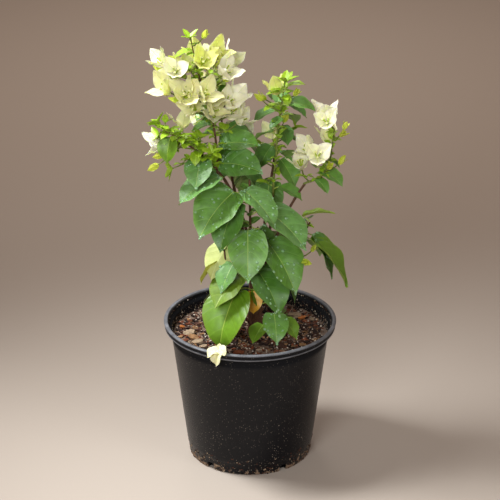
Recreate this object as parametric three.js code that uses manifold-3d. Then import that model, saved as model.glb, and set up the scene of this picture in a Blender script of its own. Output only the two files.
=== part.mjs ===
// A young white bougainvillea in a black plastic nursery pot.
// Units are millimetres, +Z is up, and the origin is the middle of the pot's flat underside.
// Headings are degrees round +Z from +X, so -90 faces the front; rises and pitches are degrees above level.

import * as THREE from 'three';
import { mergeVertices } from 'three/addons/utils/BufferGeometryUtils.js';
import Module from 'manifold-3d';

const wasm = await Module();
wasm.setup();

// ---------------------------------------------------------------- driving sizes

const CLEAR = 0.3; // gap between pieces that touch
const LEAF_GAP = 0.5; // least gap between one mass and anything that is not its own

const POT = {
  height: 197,
  baseRadius: 83.5,
  taper: 0.132, // growth of the outer radius for each millimetre of height
  wall: 1.8,
  floor: 2.6,
  footRing: { height: 17, step: 0.6 },
  lip: { radius: 117.3, inner: 111.7, beadHeight: 2.6, skirtRadius: 115.9, depth: 9, throat: 7 },
  segments: 36,
};
const DRAIN = { count: 5, firstHeading: -129.5, width: 12, height: 9.5, depth: 16 };
const SOIL = { level: 175, sideGap: 1, segments: 36, rings: 6, flatRadius: 30, bump: 2.6 };

const TRUNK = {
  foot: [8, 2],
  lean: [-2, -2],
  height: 39,
  footRadius: 13.5,
  waistRadius: 9.6,
  topRadius: 10.4,
  sides: 14,
};
const BOUGH_RING = 7.2; // the boughs stand this far from the middle of the trunk's top
const LIMB_SIDES = 6;
const STEM_SIDES = 5;
const STEM_STEP = 22;
const TWIG = { radius: 1, bend: 10 };
const SIDE_TWIG = { length: 18, rise: 20, turn: 80, share: 0.3 }; // further blooms on the same twig

// Leaves: widths and thicknesses are shares of the blade's length, angles are degrees.
const LEAF = {
  width: 0.8,
  thick: 0.014,
  fold: 14,
  arch: 36, // from base to tip, with the stated pitch at the share called level
  level: 0.2,
  outline: { blunt: 0.42, full: 1.8, taper: 1.1 }, // round at the foot, full, then drawn out to the tip
  large: 48, // blades longer than this have three cross sections, middling ones two, small ones one
  middling: 27,
  sections: { large: [0.1, 0.38, 0.72], middling: [0.14, 0.58], small: [0.38] },
  petiole: { share: 0.28, radius: 0.9, lift: 30, droop: 0.3 },
};
// Whorls: lean is each petal's angle off the stem's line, cup is how far its tip bends back in.
const BRACT = { length: 32, width: 0.7, widest: 0.46, lean: 44, fold: 8, cup: 0.18, hub: 1.8, jitter: 6 };
const BUD = { length: 14, width: 0.42, widest: 0.46, lean: 27, fold: 5, cup: 0.16, hub: 1.3 };
const SPROUT = { length: 17, width: 0.42, widest: 0.42, lean: 58, fold: 10, cup: -0.06, hub: 1.3, jitter: 18 };

// Boughs rise from the trunk's top. side is where each stands on it; heading and rise run from foot to tip.
const BOUGHS = [
  { name: 'bough_left', side: 205, heading: [201], rise: [98, 80, 60], length: 198, radius: [2.5, 1.9] },
  { name: 'bough_top', side: 160, heading: [180], rise: [97, 76, 58], length: 186, radius: [2.4, 1.9] },
  { name: 'bough_back_left', side: 115, heading: [132], rise: [84, 70], length: 168, radius: [2.3, 1.8] },
  { name: 'bough_back_right', side: 70, heading: [58], rise: [82, 74], length: 158, radius: [2.3, 1.8] },
  { name: 'bough_centre', side: 25, heading: [6], rise: [80, 84, 86], length: 162, radius: [2.3, 1.8] },
  { name: 'bough_right', side: -20, heading: [2], rise: [82, 74, 56], length: 190, radius: [2.3, 1.6] },
  { name: 'bough_low_right', side: -65, heading: [-12], rise: [66, 58], length: 84, radius: [2.2, 1.7] },
  { name: 'bough_front', side: -110, heading: [-95], rise: [64], length: 38, radius: [2.5, 2.3] },
];

// Masses grow on from a bough's tip, or from the trunk's side at a height over the soil.
// leaves: share of the stem, petiole's heading, blade's heading, pitch, length, roll about the midrib.
// twigs: share of the stem, heading, rise, length, what the tip carries, and how many of them.
// rule: how many more leaves are set round the stem, the first one's heading, and how pitch and size
// change from the stem's foot to its tip.
const MASSES = [
  {
    name: 'leaves_front',
    from: 'bough_front',
    heading: [-120],
    rise: [88],
    length: 160,
    radius: [2.2, 1.3],
    leaves: [
      [0.9, -115, -35, -28, 67, 0],
      [0.84, 180, -138, -28, 80, -14],
      [0.78, -160, -125, -48, 70, 0],
      [0.68, -5, -30, -26, 78, 0],
      [0.56, -100, -90, -44, 72, 0],
      [0.4, -5, -45, -38, 82, 0],
      [0.2, -70, -50, -36, 74, 0],
      [0.0, -142, -122, -46, 90, 0],
      [0.54, 10, -20, -56, 46, 0],
      [0.14, 0, -16, -48, 50, 0],
      [0.6, 175, -170, -50, 48, 0],
    ],
    twigs: [],
  },
  {
    name: 'leaves_left',
    from: 'bough_left',
    heading: [197],
    rise: [58, 42, 34],
    length: 112,
    radius: [1.8, 0.9],
    leaves: [
      [0.3, -160, -100, -28, 46, 0],
      [0.02, -110, -155, -16, 66, 0],
      [0.2, -155, -145, -46, 34, 0],
      [0.82, -150, -115, -60, 35, 0],
      [0.7, 100, 130, -10, 30, 0],
      [0.5, 80, 95, -16, 36, 0],
    ],
    twigs: [
      [0.9, 150, 30, 24, 'sprout', 1],
      [1, 84, 46, 11, 'sprout', 1],
      [0.56, -172, 22, 50, 'sprout', 1],
      [0.6, 20, 48, 16, 'sprout', 1],
      [0.8, 173, -24, 20, 'bloom', 1],
      [0.7, 165, -34, 36, 'bud', 1],
      [0.76, 168, -50, 48, 'bud', 1],
      [0.72, 95, 24, 24, 'bloom', 1],
      [0.5, -175, -34, 40, 'sprout', 1],
      [0.36, -60, 40, 22, 'sprout', 1],
    ],
  },
  {
    name: 'blossom_top',
    from: 'bough_top',
    heading: [180],
    rise: [92, 86, 74, 76, 82],
    length: 206,
    radius: [1.8, 0.8],
    leaves: [
      [0.2, 75, -10, 12, 56, 24],
      [0.12, -70, -20, 4, 60, 30],
      [0.66, -95, -25, 0, 24, 0],
      [0.4, -110, -165, -6, 28, 0],
      [0.9, -180, -170, -16, 22, 0],
      [0.3, 120, 130, -20, 42, 0],
      [0.5, 60, 70, -10, 34, 0],
    ],
    twigs: [
      [0.7, -170, 28, 54, 'bloom', 2],
      [0.62, 170, 26, 62, 'bud', 2],
      [0.56, -155, 22, 56, 'bloom', 2],
      [0.76, 165, 24, 30, 'bud', 1],
      [0.68, 130, 30, 24, 'bloom', 2],
      [0.8, -70, 26, 22, 'bloom', 1],
      [0.94, 10, 36, 17, 'bud', 1],
      [0.72, 25, 22, 38, 'bloom', 2],
      [0.82, -30, 28, 30, 'bloom', 1],
      [0.7, -40, 24, 42, 'bloom', 1],
      [0.66, -30, 24, 36, 'bud', 2],
      [0.58, -130, 26, 38, 'bloom', 2],
      [0.5, -170, 20, 42, 'bud', 2],
      [0.48, -120, 22, 38, 'bloom', 2],
      [0.54, -80, 26, 24, 'bloom', 1],
      [0.5, -45, 28, 34, 'bloom', 2],
      [0.42, -85, 30, 30, 'bloom', 2],
      [0.34, -10, 28, 34, 'bloom', 1],
      [0.74, 100, 30, 24, 'bloom', 1],
      [0.5, 80, 34, 34, 'bloom', 2],
      [0.97, -140, 64, 6, 'sprout', 1],
    ],
  },
  {
    name: 'shoot_centre',
    from: 'bough_centre',
    heading: [0],
    rise: [90, 84, 88, 80, 84],
    length: 154,
    radius: [1.7, 0.8],
    leaves: [
      [0.82, -5, -15, -4, 38, 12],
      [0.7, -55, -145, -24, 24, 0],
      [0.71, 10, -15, 18, 16, 0],
      [0.93, -175, 170, -10, 20, 0],
      [0.9, -20, -75, -36, 16, 0],
      [0.97, -10, -10, 20, 24, 0],
      [0.05, -15, -25, -14, 36, 0],
      [0.07, -175, -160, 28, 22, 0],
      [0.35, 60, 70, -24, 40, 0],
      [0.54, 150, 140, -20, 32, 0],
    ],
    twigs: [
      [0.77, 170, 28, 27, 'bud', 1],
      [0.86, 130, 40, 10, 'bloom', 1],
      [0.42, 108, 30, 18, 'bloom', 1],
      [0.56, 60, 32, 20, 'bud', 1],
      [0.86, -15, 30, 18, 'bud', 1],
      [1, 80, 70, 5, 'sprout', 1],
    ],
  },
  {
    name: 'blossom_right',
    from: 'bough_right',
    heading: [0],
    rise: [4, 60, 84, 84],
    length: 92,
    radius: [1.5, 0.8],
    leaves: [
      [0.24, 85, -30, -14, 38, 0],
      [0.5, 95, -15, -28, 20, 0],
      [0.1, -20, -40, -28, 26, 0],
      [0.4, 120, 110, -20, 30, 0],
    ],
    twigs: [
      [0.5, -170, 28, 28, 'bloom', 2],
      [0.06, -135, 56, 26, 'bloom', 1],
      [1, 175, 60, 14, 'bloom', 2],
      [0.86, -20, 24, 10, 'bud', 2],
      [0.34, -60, 34, 12, 'bud', 2],
      [0.6, 100, 34, 22, 'bloom', 1],
    ],
  },
  {
    name: 'leaves_low_right',
    from: 'bough_low_right',
    heading: [-6, 4],
    rise: [54, 66],
    length: 64,
    radius: [1.6, 1],
    leaves: [
      [0.7, -50, -26, -54, 66, -15],
      [0.6, -60, -14, -42, 84, -10],
      [1, 165, -2, 16, 44, -14],
      [0.4, 60, 40, -34, 50, 0],
      [0.9, 100, 110, -24, 40, 0],
    ],
    twigs: [[0.3, -60, -20, 24, 'bud', 2]],
  },
  {
    name: 'skirt_left',
    from: 'trunk',
    height: 20,
    heading: [214],
    rise: [46, 78, 84],
    length: 124,
    radius: [1.8, 1.1],
    leaves: [
      [0.66, -20, -130, -24, 60, 0],
      [0.98, 60, -135, -38, 57, 150],
      [0.82, -30, -125, -40, 44, 0],
      [0.44, 150, 140, -40, 46, 0],
    ],
    twigs: [],
  },
  {
    name: 'skirt_right',
    from: 'trunk',
    height: 12,
    heading: [-46, -38],
    rise: [22, 40, 52],
    length: 62,
    radius: [1.6, 1],
    leaves: [
      [0.8, -160, -84, -30, 46, 0],
      [0.2, -120, -120, -18, 34, 0],
      [0.6, -30, -40, -34, 34, 0],
    ],
    twigs: [],
  },
  {
    name: 'leaves_back_left',
    from: 'bough_back_left',
    heading: [128, 140],
    rise: [70, 78, 84],
    length: 150,
    radius: [1.7, 0.9],
    rule: { leaves: 14, first: 60, pitch: [-50, -8], size: [60, 26] },
    leaves: [],
    twigs: [
      [0.5, 150, 34, 34, 'bloom', 2],
      [0.72, 90, 40, 28, 'bloom', 2],
      [1, 120, 66, 10, 'bloom', 2],
    ],
  },
  {
    name: 'leaves_back_right',
    from: 'bough_back_right',
    heading: [58, 48],
    rise: [74, 76, 82],
    length: 138,
    radius: [1.7, 0.9],
    rule: { leaves: 15, first: 130, pitch: [-50, -8], size: [58, 24] },
    leaves: [],
    twigs: [
      [0.4, 160, 24, 50, 'bloom', 2],
      [0.48, 30, 30, 34, 'sprout', 1],
      [0.76, 100, 40, 26, 'bud', 2],
      [1, 60, 66, 10, 'sprout', 1],
    ],
  },
  {
    name: 'skirt_back',
    from: 'trunk',
    height: 24,
    heading: [84, 92],
    rise: [40, 66, 76],
    length: 120,
    radius: [1.8, 1.1],
    rule: { leaves: 10, first: 20, pitch: [-48, -40], size: [62, 70] },
    leaves: [],
    twigs: [],
  },
];

// ---------------------------------------------------------------- finishes

const finish = (color, roughness) => new THREE.MeshStandardMaterial({ color, roughness, metalness: 0 });
const FINISHES = {
  pot: finish(0x1f2022, 0.5),
  soil: finish(0x3d2a20, 0.95),
  bark: finish(0x4a3426, 0.85),
  leaf: finish(0x4f8a3c, 0.5),
  bract: finish(0xf1f3c9, 0.6),
};

// ---------------------------------------------------------------- small helpers

const radians = THREE.MathUtils.degToRad;
const mix = THREE.MathUtils.lerp;

// A unit vector along a heading and a rise.
function aim(heading, rise) {
  const level = Math.cos(radians(rise));
  return new THREE.Vector3(
    level * Math.cos(radians(heading)),
    level * Math.sin(radians(heading)),
    Math.sin(radians(rise)),
  );
}

// The value of an evenly spaced list at a share of its length.
function along(values, share) {
  const place = THREE.MathUtils.clamp(share, 0, 1) * (values.length - 1);
  const index = Math.min(Math.floor(place), values.length - 2);
  return values.length === 1 ? values[0] : mix(values[index], values[index + 1], place - index);
}

// Repeatable random numbers from 0 to 1.
function seeded(seed) {
  let state = seed;
  return () => {
    state = (state + 0x6d2b79f5) | 0;
    let t = Math.imul(state ^ (state >>> 15), 1 | state);
    t = (t + Math.imul(t ^ (t >>> 7), 61 | t)) ^ t;
    return ((t ^ (t >>> 14)) >>> 0) / 4294967296;
  };
}

// A closed geometry as a manifold solid.
function solidOf(geometry) {
  const bare = geometry.clone();
  bare.deleteAttribute('normal');
  bare.deleteAttribute('uv');
  const merged = mergeVertices(bare, 1e-4);
  return new wasm.Manifold(
    new wasm.Mesh({
      numProp: 3,
      vertProperties: merged.attributes.position.array,
      triVerts: new Uint32Array(merged.index.array),
    }),
  );
}

// Many solids joined into one body: sealed hollows are filled and loose scraps dropped.
function fuse(solids) {
  const joined = wasm.Manifold.union(solids).simplify(0.05);
  const bodies = joined.decompose().filter((body) => body.volume() > 0);
  return bodies.sort((a, b) => b.volume() - a.volume())[0];
}

function meshOf(name, solid, material) {
  const made = solid.getMesh();
  const geometry = new THREE.BufferGeometry();
  const positions = new Float32Array(made.numVert * 3);
  for (let i = 0; i < made.numVert; i++) {
    positions.set(made.vertProperties.subarray(i * made.numProp, i * made.numProp + 3), i * 3);
  }
  geometry.setAttribute('position', new THREE.BufferAttribute(positions, 3));
  geometry.setIndex(new THREE.BufferAttribute(made.triVerts, 1));
  geometry.computeVertexNormals();
  const mesh = new THREE.Mesh(geometry, material);
  mesh.name = name;
  return mesh;
}

// Rings of the same number of points, closed with a fan at each end or brought to a point at the last.
function loft(rings, apex) {
  const count = rings[0].length;
  const points = rings.flat();
  const faces = [];
  for (let r = 0; r + 1 < rings.length; r++) {
    for (let i = 0; i < count; i++) {
      const a = r * count + i;
      const b = r * count + ((i + 1) % count);
      faces.push(a, b, b + count, a, b + count, a + count);
    }
  }
  const last = (rings.length - 1) * count;
  for (let i = 1; i + 1 < count; i++) {
    faces.push(0, i + 1, i);
    if (!apex) faces.push(last, last + i, last + i + 1);
  }
  if (apex) {
    for (let i = 0; i < count; i++) faces.push(last + i, last + ((i + 1) % count), points.length);
    points.push(apex);
  }
  const geometry = new THREE.BufferGeometry().setFromPoints(points);
  geometry.setIndex(faces);
  return geometry;
}

// ---------------------------------------------------------------- pot and soil

const wallRadius = (z) => POT.baseRadius + POT.taper * z;

function makePot() {
  const { height, lip, wall, floor, footRing } = POT;
  const skirtFoot = height - lip.depth;
  const beadFoot = height - lip.beadHeight;
  const innerFoot = skirtFoot - 1 - wall / 4; // the wall meets the lip without growing thin
  const profile = [
    [0, 0],
    [wallRadius(0) - 1.6, 0],
    [wallRadius(1.6), 1.6],
    [wallRadius(footRing.height), footRing.height],
    [wallRadius(footRing.height) + footRing.step, footRing.height + footRing.step],
    [wallRadius(skirtFoot), skirtFoot - 1],
    [lip.skirtRadius, skirtFoot],
    [lip.skirtRadius, beadFoot],
    [lip.radius, beadFoot + 0.5],
    [lip.radius - 0.5, height],
    [lip.inner, height],
    [lip.inner - wall, height - lip.throat],
    [wallRadius(innerFoot) - wall, innerFoot],
    [wallRadius(floor) - wall, floor],
    [0, floor],
  ].map(([r, z]) => new THREE.Vector2(r, z));
  const shell = new THREE.LatheGeometry(profile, POT.segments).rotateX(Math.PI / 2);
  let solid = solidOf(shell);
  for (let i = 0; i < DRAIN.count; i++) {
    const slot = new THREE.BoxGeometry(DRAIN.depth, DRAIN.width, DRAIN.height + 2)
      .translate(wallRadius(0), 0, DRAIN.height / 2 - 1)
      .rotateZ(radians(DRAIN.firstHeading + (360 / DRAIN.count) * i));
    solid = solid.subtract(solidOf(slot));
  }
  return solid;
}

function makeSoil() {
  const random = seeded(11);
  const reach = (z) => wallRadius(z) - POT.wall - SOIL.sideGap;
  const bottom = POT.floor + CLEAR;
  const profile = [new THREE.Vector2(0, bottom), new THREE.Vector2(reach(bottom), bottom)];
  for (let ring = 0; ring <= SOIL.rings; ring++) {
    const share = 1 - ring / (SOIL.rings + 1);
    profile.push(new THREE.Vector2(mix(SOIL.flatRadius - 15, reach(SOIL.level), share), SOIL.level));
  }
  profile.push(new THREE.Vector2(0, SOIL.level));
  const geometry = new THREE.LatheGeometry(profile, SOIL.segments).rotateX(Math.PI / 2);
  geometry.deleteAttribute('normal');
  geometry.deleteAttribute('uv');
  const merged = mergeVertices(geometry, 1e-4);
  const place = merged.attributes.position;
  for (let i = 0; i < place.count; i++) {
    const outside = Math.hypot(place.getX(i), place.getY(i)) > SOIL.flatRadius;
    if (outside && place.getZ(i) > SOIL.level - 1) {
      place.setZ(i, SOIL.level + (random() - 0.5) * 2 * SOIL.bump);
    }
  }
  return solidOf(merged);
}

// ---------------------------------------------------------------- limbs

// Points and radii along a limb that starts at a place and turns from heading to heading and rise to rise.
function growLimb(start, { heading, rise, length, radius }, steps) {
  const points = [start.clone()];
  for (let i = 0; i < steps; i++) {
    const share = (i + 0.5) / steps;
    const step = aim(along(heading, share), along(rise, share)).multiplyScalar(length / steps);
    points.push(points[i].clone().add(step));
  }
  const radii = points.map((_, i) => along(radius, i / steps));
  return { points, radii };
}

function pointOn(limb, share) {
  const place = THREE.MathUtils.clamp(share, 0, 1) * (limb.points.length - 1);
  const index = Math.min(Math.floor(place), limb.points.length - 2);
  return limb.points[index].clone().lerp(limb.points[index + 1], place - index);
}

// A limb's skin: rings square to it, carried along without twisting.
function limbGeometry({ points, radii }, sides) {
  const rings = [];
  let across = new THREE.Vector3(1, 0, 0);
  points.forEach((point, i) => {
    const before = points[Math.max(i - 1, 0)];
    const after = points[Math.min(i + 1, points.length - 1)];
    const tangent = after.clone().sub(before).normalize();
    if (i === 0 && Math.abs(tangent.x) > 0.9) across.set(0, 1, 0);
    across = across.clone().addScaledVector(tangent, -across.dot(tangent)).normalize();
    const up = tangent.clone().cross(across);
    rings.push(
      Array.from({ length: sides }, (_, k) => {
        const turn = (2 * Math.PI * k) / sides;
        return point
          .clone()
          .addScaledVector(across, radii[i] * Math.cos(turn))
          .addScaledVector(up, radii[i] * Math.sin(turn));
      }),
    );
  });
  return loft(rings);
}

function makeTrunk() {
  const profile = [
    [0, TRUNK.footRadius],
    [0.12, TRUNK.footRadius * 0.86],
    [0.3, TRUNK.waistRadius * 1.04],
    [0.6, TRUNK.waistRadius],
    [0.85, TRUNK.topRadius],
    [1, TRUNK.topRadius * 0.98],
  ];
  const rings = profile.map(([share, radius]) =>
    Array.from({ length: TRUNK.sides }, (_, k) => {
      const turn = (2 * Math.PI * k) / TRUNK.sides;
      const swell = 1 + 0.07 * Math.sin(3 * turn + 5 * share) * (1 - share * 0.6);
      return trunkMiddle(share).add(
        new THREE.Vector3(radius * swell * Math.cos(turn), radius * swell * Math.sin(turn), 0),
      );
    }),
  );
  return solidOf(loft(rings));
}

function trunkMiddle(share) {
  return new THREE.Vector3(
    TRUNK.foot[0] + TRUNK.lean[0] * share,
    TRUNK.foot[1] + TRUNK.lean[1] * share,
    SOIL.level + CLEAR + TRUNK.height * share,
  );
}

// A bough's foot stands on the trunk's flat top, just clear of it.
function growBough(bough) {
  const lift = CLEAR + bough.radius[0] * Math.abs(Math.cos(radians(bough.rise[0])));
  const start = trunkMiddle(1).add(aim(bough.side, 0).multiplyScalar(BOUGH_RING));
  start.z += lift;
  return growLimb(start, bough, Math.max(3, Math.round(bough.length / 18)));
}

// ---------------------------------------------------------------- leaves

// Half the blade's width at a share of its length, as a share of the widest half.
function bladeOutline(share) {
  const { blunt, full, taper } = LEAF.outline;
  const widthAt = (s) => s ** blunt * (1 - s ** full) ** taper;
  const widest = (blunt / (blunt + full * taper)) ** (1 / full);
  return widthAt(share) / widthAt(widest);
}

// Left edge, upper face, right edge and under face of a leaf at a point of its midrib.
function leafSection(centre, forward, heading, roll, half, thick, fold) {
  const side = aim(heading - 90, 0).applyAxisAngle(forward, radians(roll));
  const normal = side.clone().cross(forward);
  const edge = (hand) =>
    centre
      .clone()
      .addScaledVector(side, hand * half * Math.cos(fold))
      .addScaledVector(normal, half * Math.sin(fold));
  return [
    edge(-1),
    centre.clone().addScaledVector(normal, thick),
    edge(1),
    centre.clone().addScaledVector(normal, -thick),
  ];
}

// A leaf in one skin: a petiole that rises off its stem, then a folded blade that arches down to its tip.
function makeLeaf(root, [side, heading, pitch, length, roll]) {
  const { petiole, width, arch } = LEAF;
  const grade = length > LEAF.large ? 'large' : length > LEAF.middling ? 'middling' : 'small';
  const fold = radians(LEAF.fold);
  const rise = petiole.lift + pitch * petiole.droop;
  const base = root.clone().addScaledVector(aim(side, rise), petiole.share * length);
  const stalk = petiole.radius;
  const rings = [
    leafSection(root, aim(side, rise), side, 0, stalk, stalk, 0),
    leafSection(base, aim(heading, (rise + pitch) / 2), heading, roll, stalk, stalk, 0),
  ];
  const thick = (LEAF.thick * length) / 2;
  let centre = base;
  let reached = 0;
  for (const share of [...LEAF.sections[grade], 1]) {
    const bend = pitch - arch * ((reached + share) / 2 - LEAF.level);
    centre = centre.clone().addScaledVector(aim(heading, bend), (share - reached) * length);
    reached = share;
    if (share === 1) break;
    const half = (width * length * bladeOutline(share)) / 2;
    const forward = aim(heading, pitch - arch * (share - LEAF.level));
    rings.push(leafSection(centre, forward, heading, roll, half, thick, fold));
  }
  return solidOf(loft(rings, centre));
}

// ---------------------------------------------------------------- blossom and sprouts

// What a twig's tip carries. Each petal is [turn round the twig, lean off its line, length].
const CARRIED = {
  // Papery bracts in threes.
  bloom(random) {
    const first = random() * 120;
    return [0, 1, 2].map((i) => [
      first + 120 * i + (random() - 0.5) * BRACT.jitter,
      BRACT.lean + (random() - 0.5) * BRACT.jitter,
      BRACT.length * (0.88 + 0.24 * random()),
    ]);
  },
  // Bracts still closed over their flowers.
  bud(random) {
    return [0, 1, 2].map((i) => [120 * i, BUD.lean, BUD.length * (0.8 + 0.4 * random())]);
  },
  // Young leaves crowded round a growing tip.
  sprout(random) {
    return [0, 1, 2, 3].map((i) => [
      90 * i + (random() - 0.5) * SPROUT.jitter,
      SPROUT.lean + (random() - 0.5) * SPROUT.jitter,
      SPROUT.length * (0.7 + 0.6 * random()),
    ]);
  },
};
const PETALS = { bloom: BRACT, bud: BUD, sprout: SPROUT };

// A twig and the whorl of petals on its tip, in one skin. The twig rises as it goes along its heading,
// and has a side for each petal.
function makeSpray(kind, root, heading, rise, length, random) {
  const shape = PETALS[kind];
  const petals = CARRIED[kind](random);
  const count = petals.length;
  const across = aim(heading + 90, 0);
  const turnAfter = (i) => petals[(i + 1) % count][0] + (i + 1 === count ? 360 : 0);
  const around = (axis, turn) =>
    across
      .clone()
      .multiplyScalar(Math.cos(radians(turn)))
      .addScaledVector(axis.clone().cross(across), Math.sin(radians(turn)));
  const ring = (centre, axis, radius) =>
    petals.map(([turn], i) =>
      centre.clone().addScaledVector(around(axis, (turn + turnAfter(i)) / 2), radius),
    );

  const rises = [rise - TWIG.bend, rise + TWIG.bend, rise + 2 * TWIG.bend];
  const middle = root.clone().addScaledVector(aim(heading, rises[0]), length / 2);
  const tip = middle.clone().addScaledVector(aim(heading, rises[1]), length / 2);
  const axis = aim(heading, rises[2]);
  const points = [
    ...ring(root, aim(heading, rises[0]), TWIG.radius),
    ...ring(middle, aim(heading, rise), TWIG.radius * 0.9),
    ...ring(tip, axis, shape.hub * 0.7),
  ];
  const faces = [];
  for (let i = 1; i + 1 < count; i++) faces.push(0, i + 1, i);
  for (let i = 0; i < 2 * count; i++) {
    const next = i + 1 - (i % count === count - 1 ? count : 0);
    faces.push(i, next, next + count, i, next + count, i + count);
  }

  const crest = points.length;
  points.push(tip.clone().addScaledVector(axis, shape.hub));
  petals.forEach(([turn, lean, petalLength], i) => {
    const out = around(axis, turn);
    const slope = radians(lean);
    const fold = radians(shape.fold);
    const way = axis.clone().multiplyScalar(Math.cos(slope)).addScaledVector(out, Math.sin(slope));
    const inner = axis.clone().multiplyScalar(Math.sin(slope)).addScaledVector(out, -Math.cos(slope));
    const half = (shape.width * petalLength) / 2;
    const edge = (hand) =>
      tip
        .clone()
        .addScaledVector(way, shape.widest * petalLength)
        .addScaledVector(around(axis, turn + 90), hand * half * Math.cos(fold))
        .addScaledVector(inner, half * Math.sin(fold));
    const end = tip
      .clone()
      .addScaledVector(way, petalLength)
      .addScaledVector(inner, shape.cup * petalLength);
    const before = 2 * count + ((i + count - 1) % count);
    const after = 2 * count + i;
    const first = points.length;
    points.push(edge(-1), end, edge(1));
    const rim = [before, first, first + 1, first + 2, after];
    for (let k = 0; k < 4; k++) faces.push(crest, rim[k], rim[k + 1]);
    faces.push(first + 1, first, before, first + 1, before, after, first + 1, after, first + 2);
  });
  const geometry = new THREE.BufferGeometry().setFromPoints(points);
  geometry.setIndex(faces);
  return { solid: solidOf(geometry), middle, tip };
}

// ---------------------------------------------------------------- masses

function boxesApart(a, b, gap) {
  return [0, 1, 2].some((k) => a.min[k] - gap > b.max[k] || b.min[k] - gap > a.max[k]);
}

// Whether a new piece keeps clear of every solid that is not its own mass's.
function isClear(piece, others) {
  const box = piece.boundingBox();
  return others.every(
    (other) => boxesApart(box, other.box, LEAF_GAP) || piece.minGap(other.solid, 1) >= LEAF_GAP,
  );
}

// A mass's stem, set just clear of its bough's tip or of the side of the trunk.
function growStem(mass, limbs) {
  const steps = Math.round(mass.length / STEM_STEP);
  if (mass.from === 'trunk') {
    const away = aim(mass.heading[0], 0);
    const start = trunkMiddle(mass.height / TRUNK.height).addScaledVector(away, 2 * TRUNK.footRadius);
    let stem = growLimb(start, mass, steps);
    for (let tries = 0; tries < 4; tries++) {
      const gap = trunk.minGap(solidOf(limbGeometry(stem, STEM_SIDES)), 4 * TRUNK.footRadius);
      stem = growLimb(stem.points[0].clone().addScaledVector(away, CLEAR - gap), mass, steps);
    }
    return stem;
  }
  const { points } = limbs.get(mass.from);
  const end = points[points.length - 1];
  const way = end.clone().sub(points[points.length - 2]).normalize();
  const kink = way.angleTo(aim(mass.heading[0], mass.rise[0]));
  const start = end.clone().addScaledVector(way, CLEAR + mass.radius[0] * Math.sin(kink));
  return growLimb(start, mass, steps);
}

// The leaves a rule sets along a stem: each turned by the golden angle from the last.
function ruledLeaves({ leaves, first, pitch, size }, random) {
  return Array.from({ length: leaves }, (_, i) => {
    const share = (i + 0.6) / leaves;
    const heading = first + 137.5 * i + (random() - 0.5) * 24;
    return [
      share,
      heading,
      heading,
      mix(pitch[0], pitch[1], share) + (random() - 0.5) * 16,
      mix(size[0], size[1], share) * (0.85 + 0.3 * random()),
      (random() - 0.5) * 20,
    ];
  });
}

// A mass: one stem with leaves and twigs on it, fused, each left out where it would touch another piece.
function growMass(mass, limbs, others, seed) {
  const stem = growStem(mass, limbs);
  const parts = [solidOf(limbGeometry(stem, STEM_SIDES))];
  const add = (piece) => {
    const clear = isClear(piece, others);
    if (clear) parts.push(piece);
    return clear;
  };
  const leaves = [...mass.leaves, ...(mass.rule ? ruledLeaves(mass.rule, seeded(seed)) : [])];
  leaves.forEach(([share, ...shape]) => {
    add(makeLeaf(pointOn(stem, share), shape));
  });
  mass.twigs.forEach(([share, heading, rise, length, kind, count], i) => {
    const random = seeded(seed * 100 + i);
    const spray = makeSpray(kind, pointOn(stem, share), heading, rise, length, random);
    if (!add(spray.solid)) return;
    for (let k = 1; k < count; k++) {
      const root = spray.middle.clone().lerp(spray.tip, SIDE_TWIG.share * k);
      const turn = heading + (k % 2 ? SIDE_TWIG.turn : -SIDE_TWIG.turn);
      add(makeSpray(kind, root, turn, SIDE_TWIG.rise, SIDE_TWIG.length, random).solid);
    }
  });
  return fuse(parts);
}

// ---------------------------------------------------------------- the whole bush

const bush = new THREE.Group();
const placed = [];
function place(name, solid, material) {
  bush.add(meshOf(name, solid, material));
  placed.push({ name, solid, box: solid.boundingBox() });
}

place('pot', makePot(), FINISHES.pot);
place('soil', makeSoil(), FINISHES.soil);
const trunk = makeTrunk();
place('trunk', trunk, FINISHES.bark);

const limbs = new Map();
for (const bough of BOUGHS) {
  const limb = growBough(bough);
  limbs.set(bough.name, limb);
  place(bough.name, solidOf(limbGeometry(limb, LIMB_SIDES)), FINISHES.bark);
}

MASSES.forEach((mass, i) => {
  const material = mass.name.startsWith('blossom') ? FINISHES.bract : FINISHES.leaf;
  place(mass.name, growMass(mass, limbs, placed, 101 + i), material);
});

export default bush;
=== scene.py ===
# A young white bougainvillea in a black nursery pot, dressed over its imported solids.
# Every length in the tables is in millimetres, as in the part's source, and every angle in degrees.
# Headings turn round +Z from +X, so -90 faces the front; rises and pitches are above level.

import math

import bpy
import numpy as np
from bpy.props import FloatProperty, FloatVectorProperty, IntProperty, PointerProperty, StringProperty
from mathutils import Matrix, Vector, noise
from mathutils.bvhtree import BVHTree


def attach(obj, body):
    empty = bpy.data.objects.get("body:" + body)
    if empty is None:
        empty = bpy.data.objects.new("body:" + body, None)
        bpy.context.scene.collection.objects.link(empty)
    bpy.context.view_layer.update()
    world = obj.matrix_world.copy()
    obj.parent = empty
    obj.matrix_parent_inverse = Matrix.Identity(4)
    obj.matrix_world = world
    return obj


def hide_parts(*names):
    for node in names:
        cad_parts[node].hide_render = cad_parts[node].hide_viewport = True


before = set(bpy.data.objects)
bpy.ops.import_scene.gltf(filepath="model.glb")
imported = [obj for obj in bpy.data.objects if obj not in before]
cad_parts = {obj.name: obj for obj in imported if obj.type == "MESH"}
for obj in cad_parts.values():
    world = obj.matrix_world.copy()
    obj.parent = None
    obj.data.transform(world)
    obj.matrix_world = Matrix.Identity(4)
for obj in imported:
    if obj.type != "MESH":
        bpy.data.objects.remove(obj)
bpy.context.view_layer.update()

bl_info = {
    "name": "Potted bougainvillea",
    "version": (1, 0, 0),
    "blender": (4, 5, 0),
    "location": "3D View > Sidebar > Bougainvillea",
    "description": "Dresses a packed potted bougainvillea with bark, leaves, bracts, soil and a moulded pot",
    "category": "Object",
}

MM = 0.001


# ---------------------------------------------------------------- sizes shared with the solids

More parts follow.
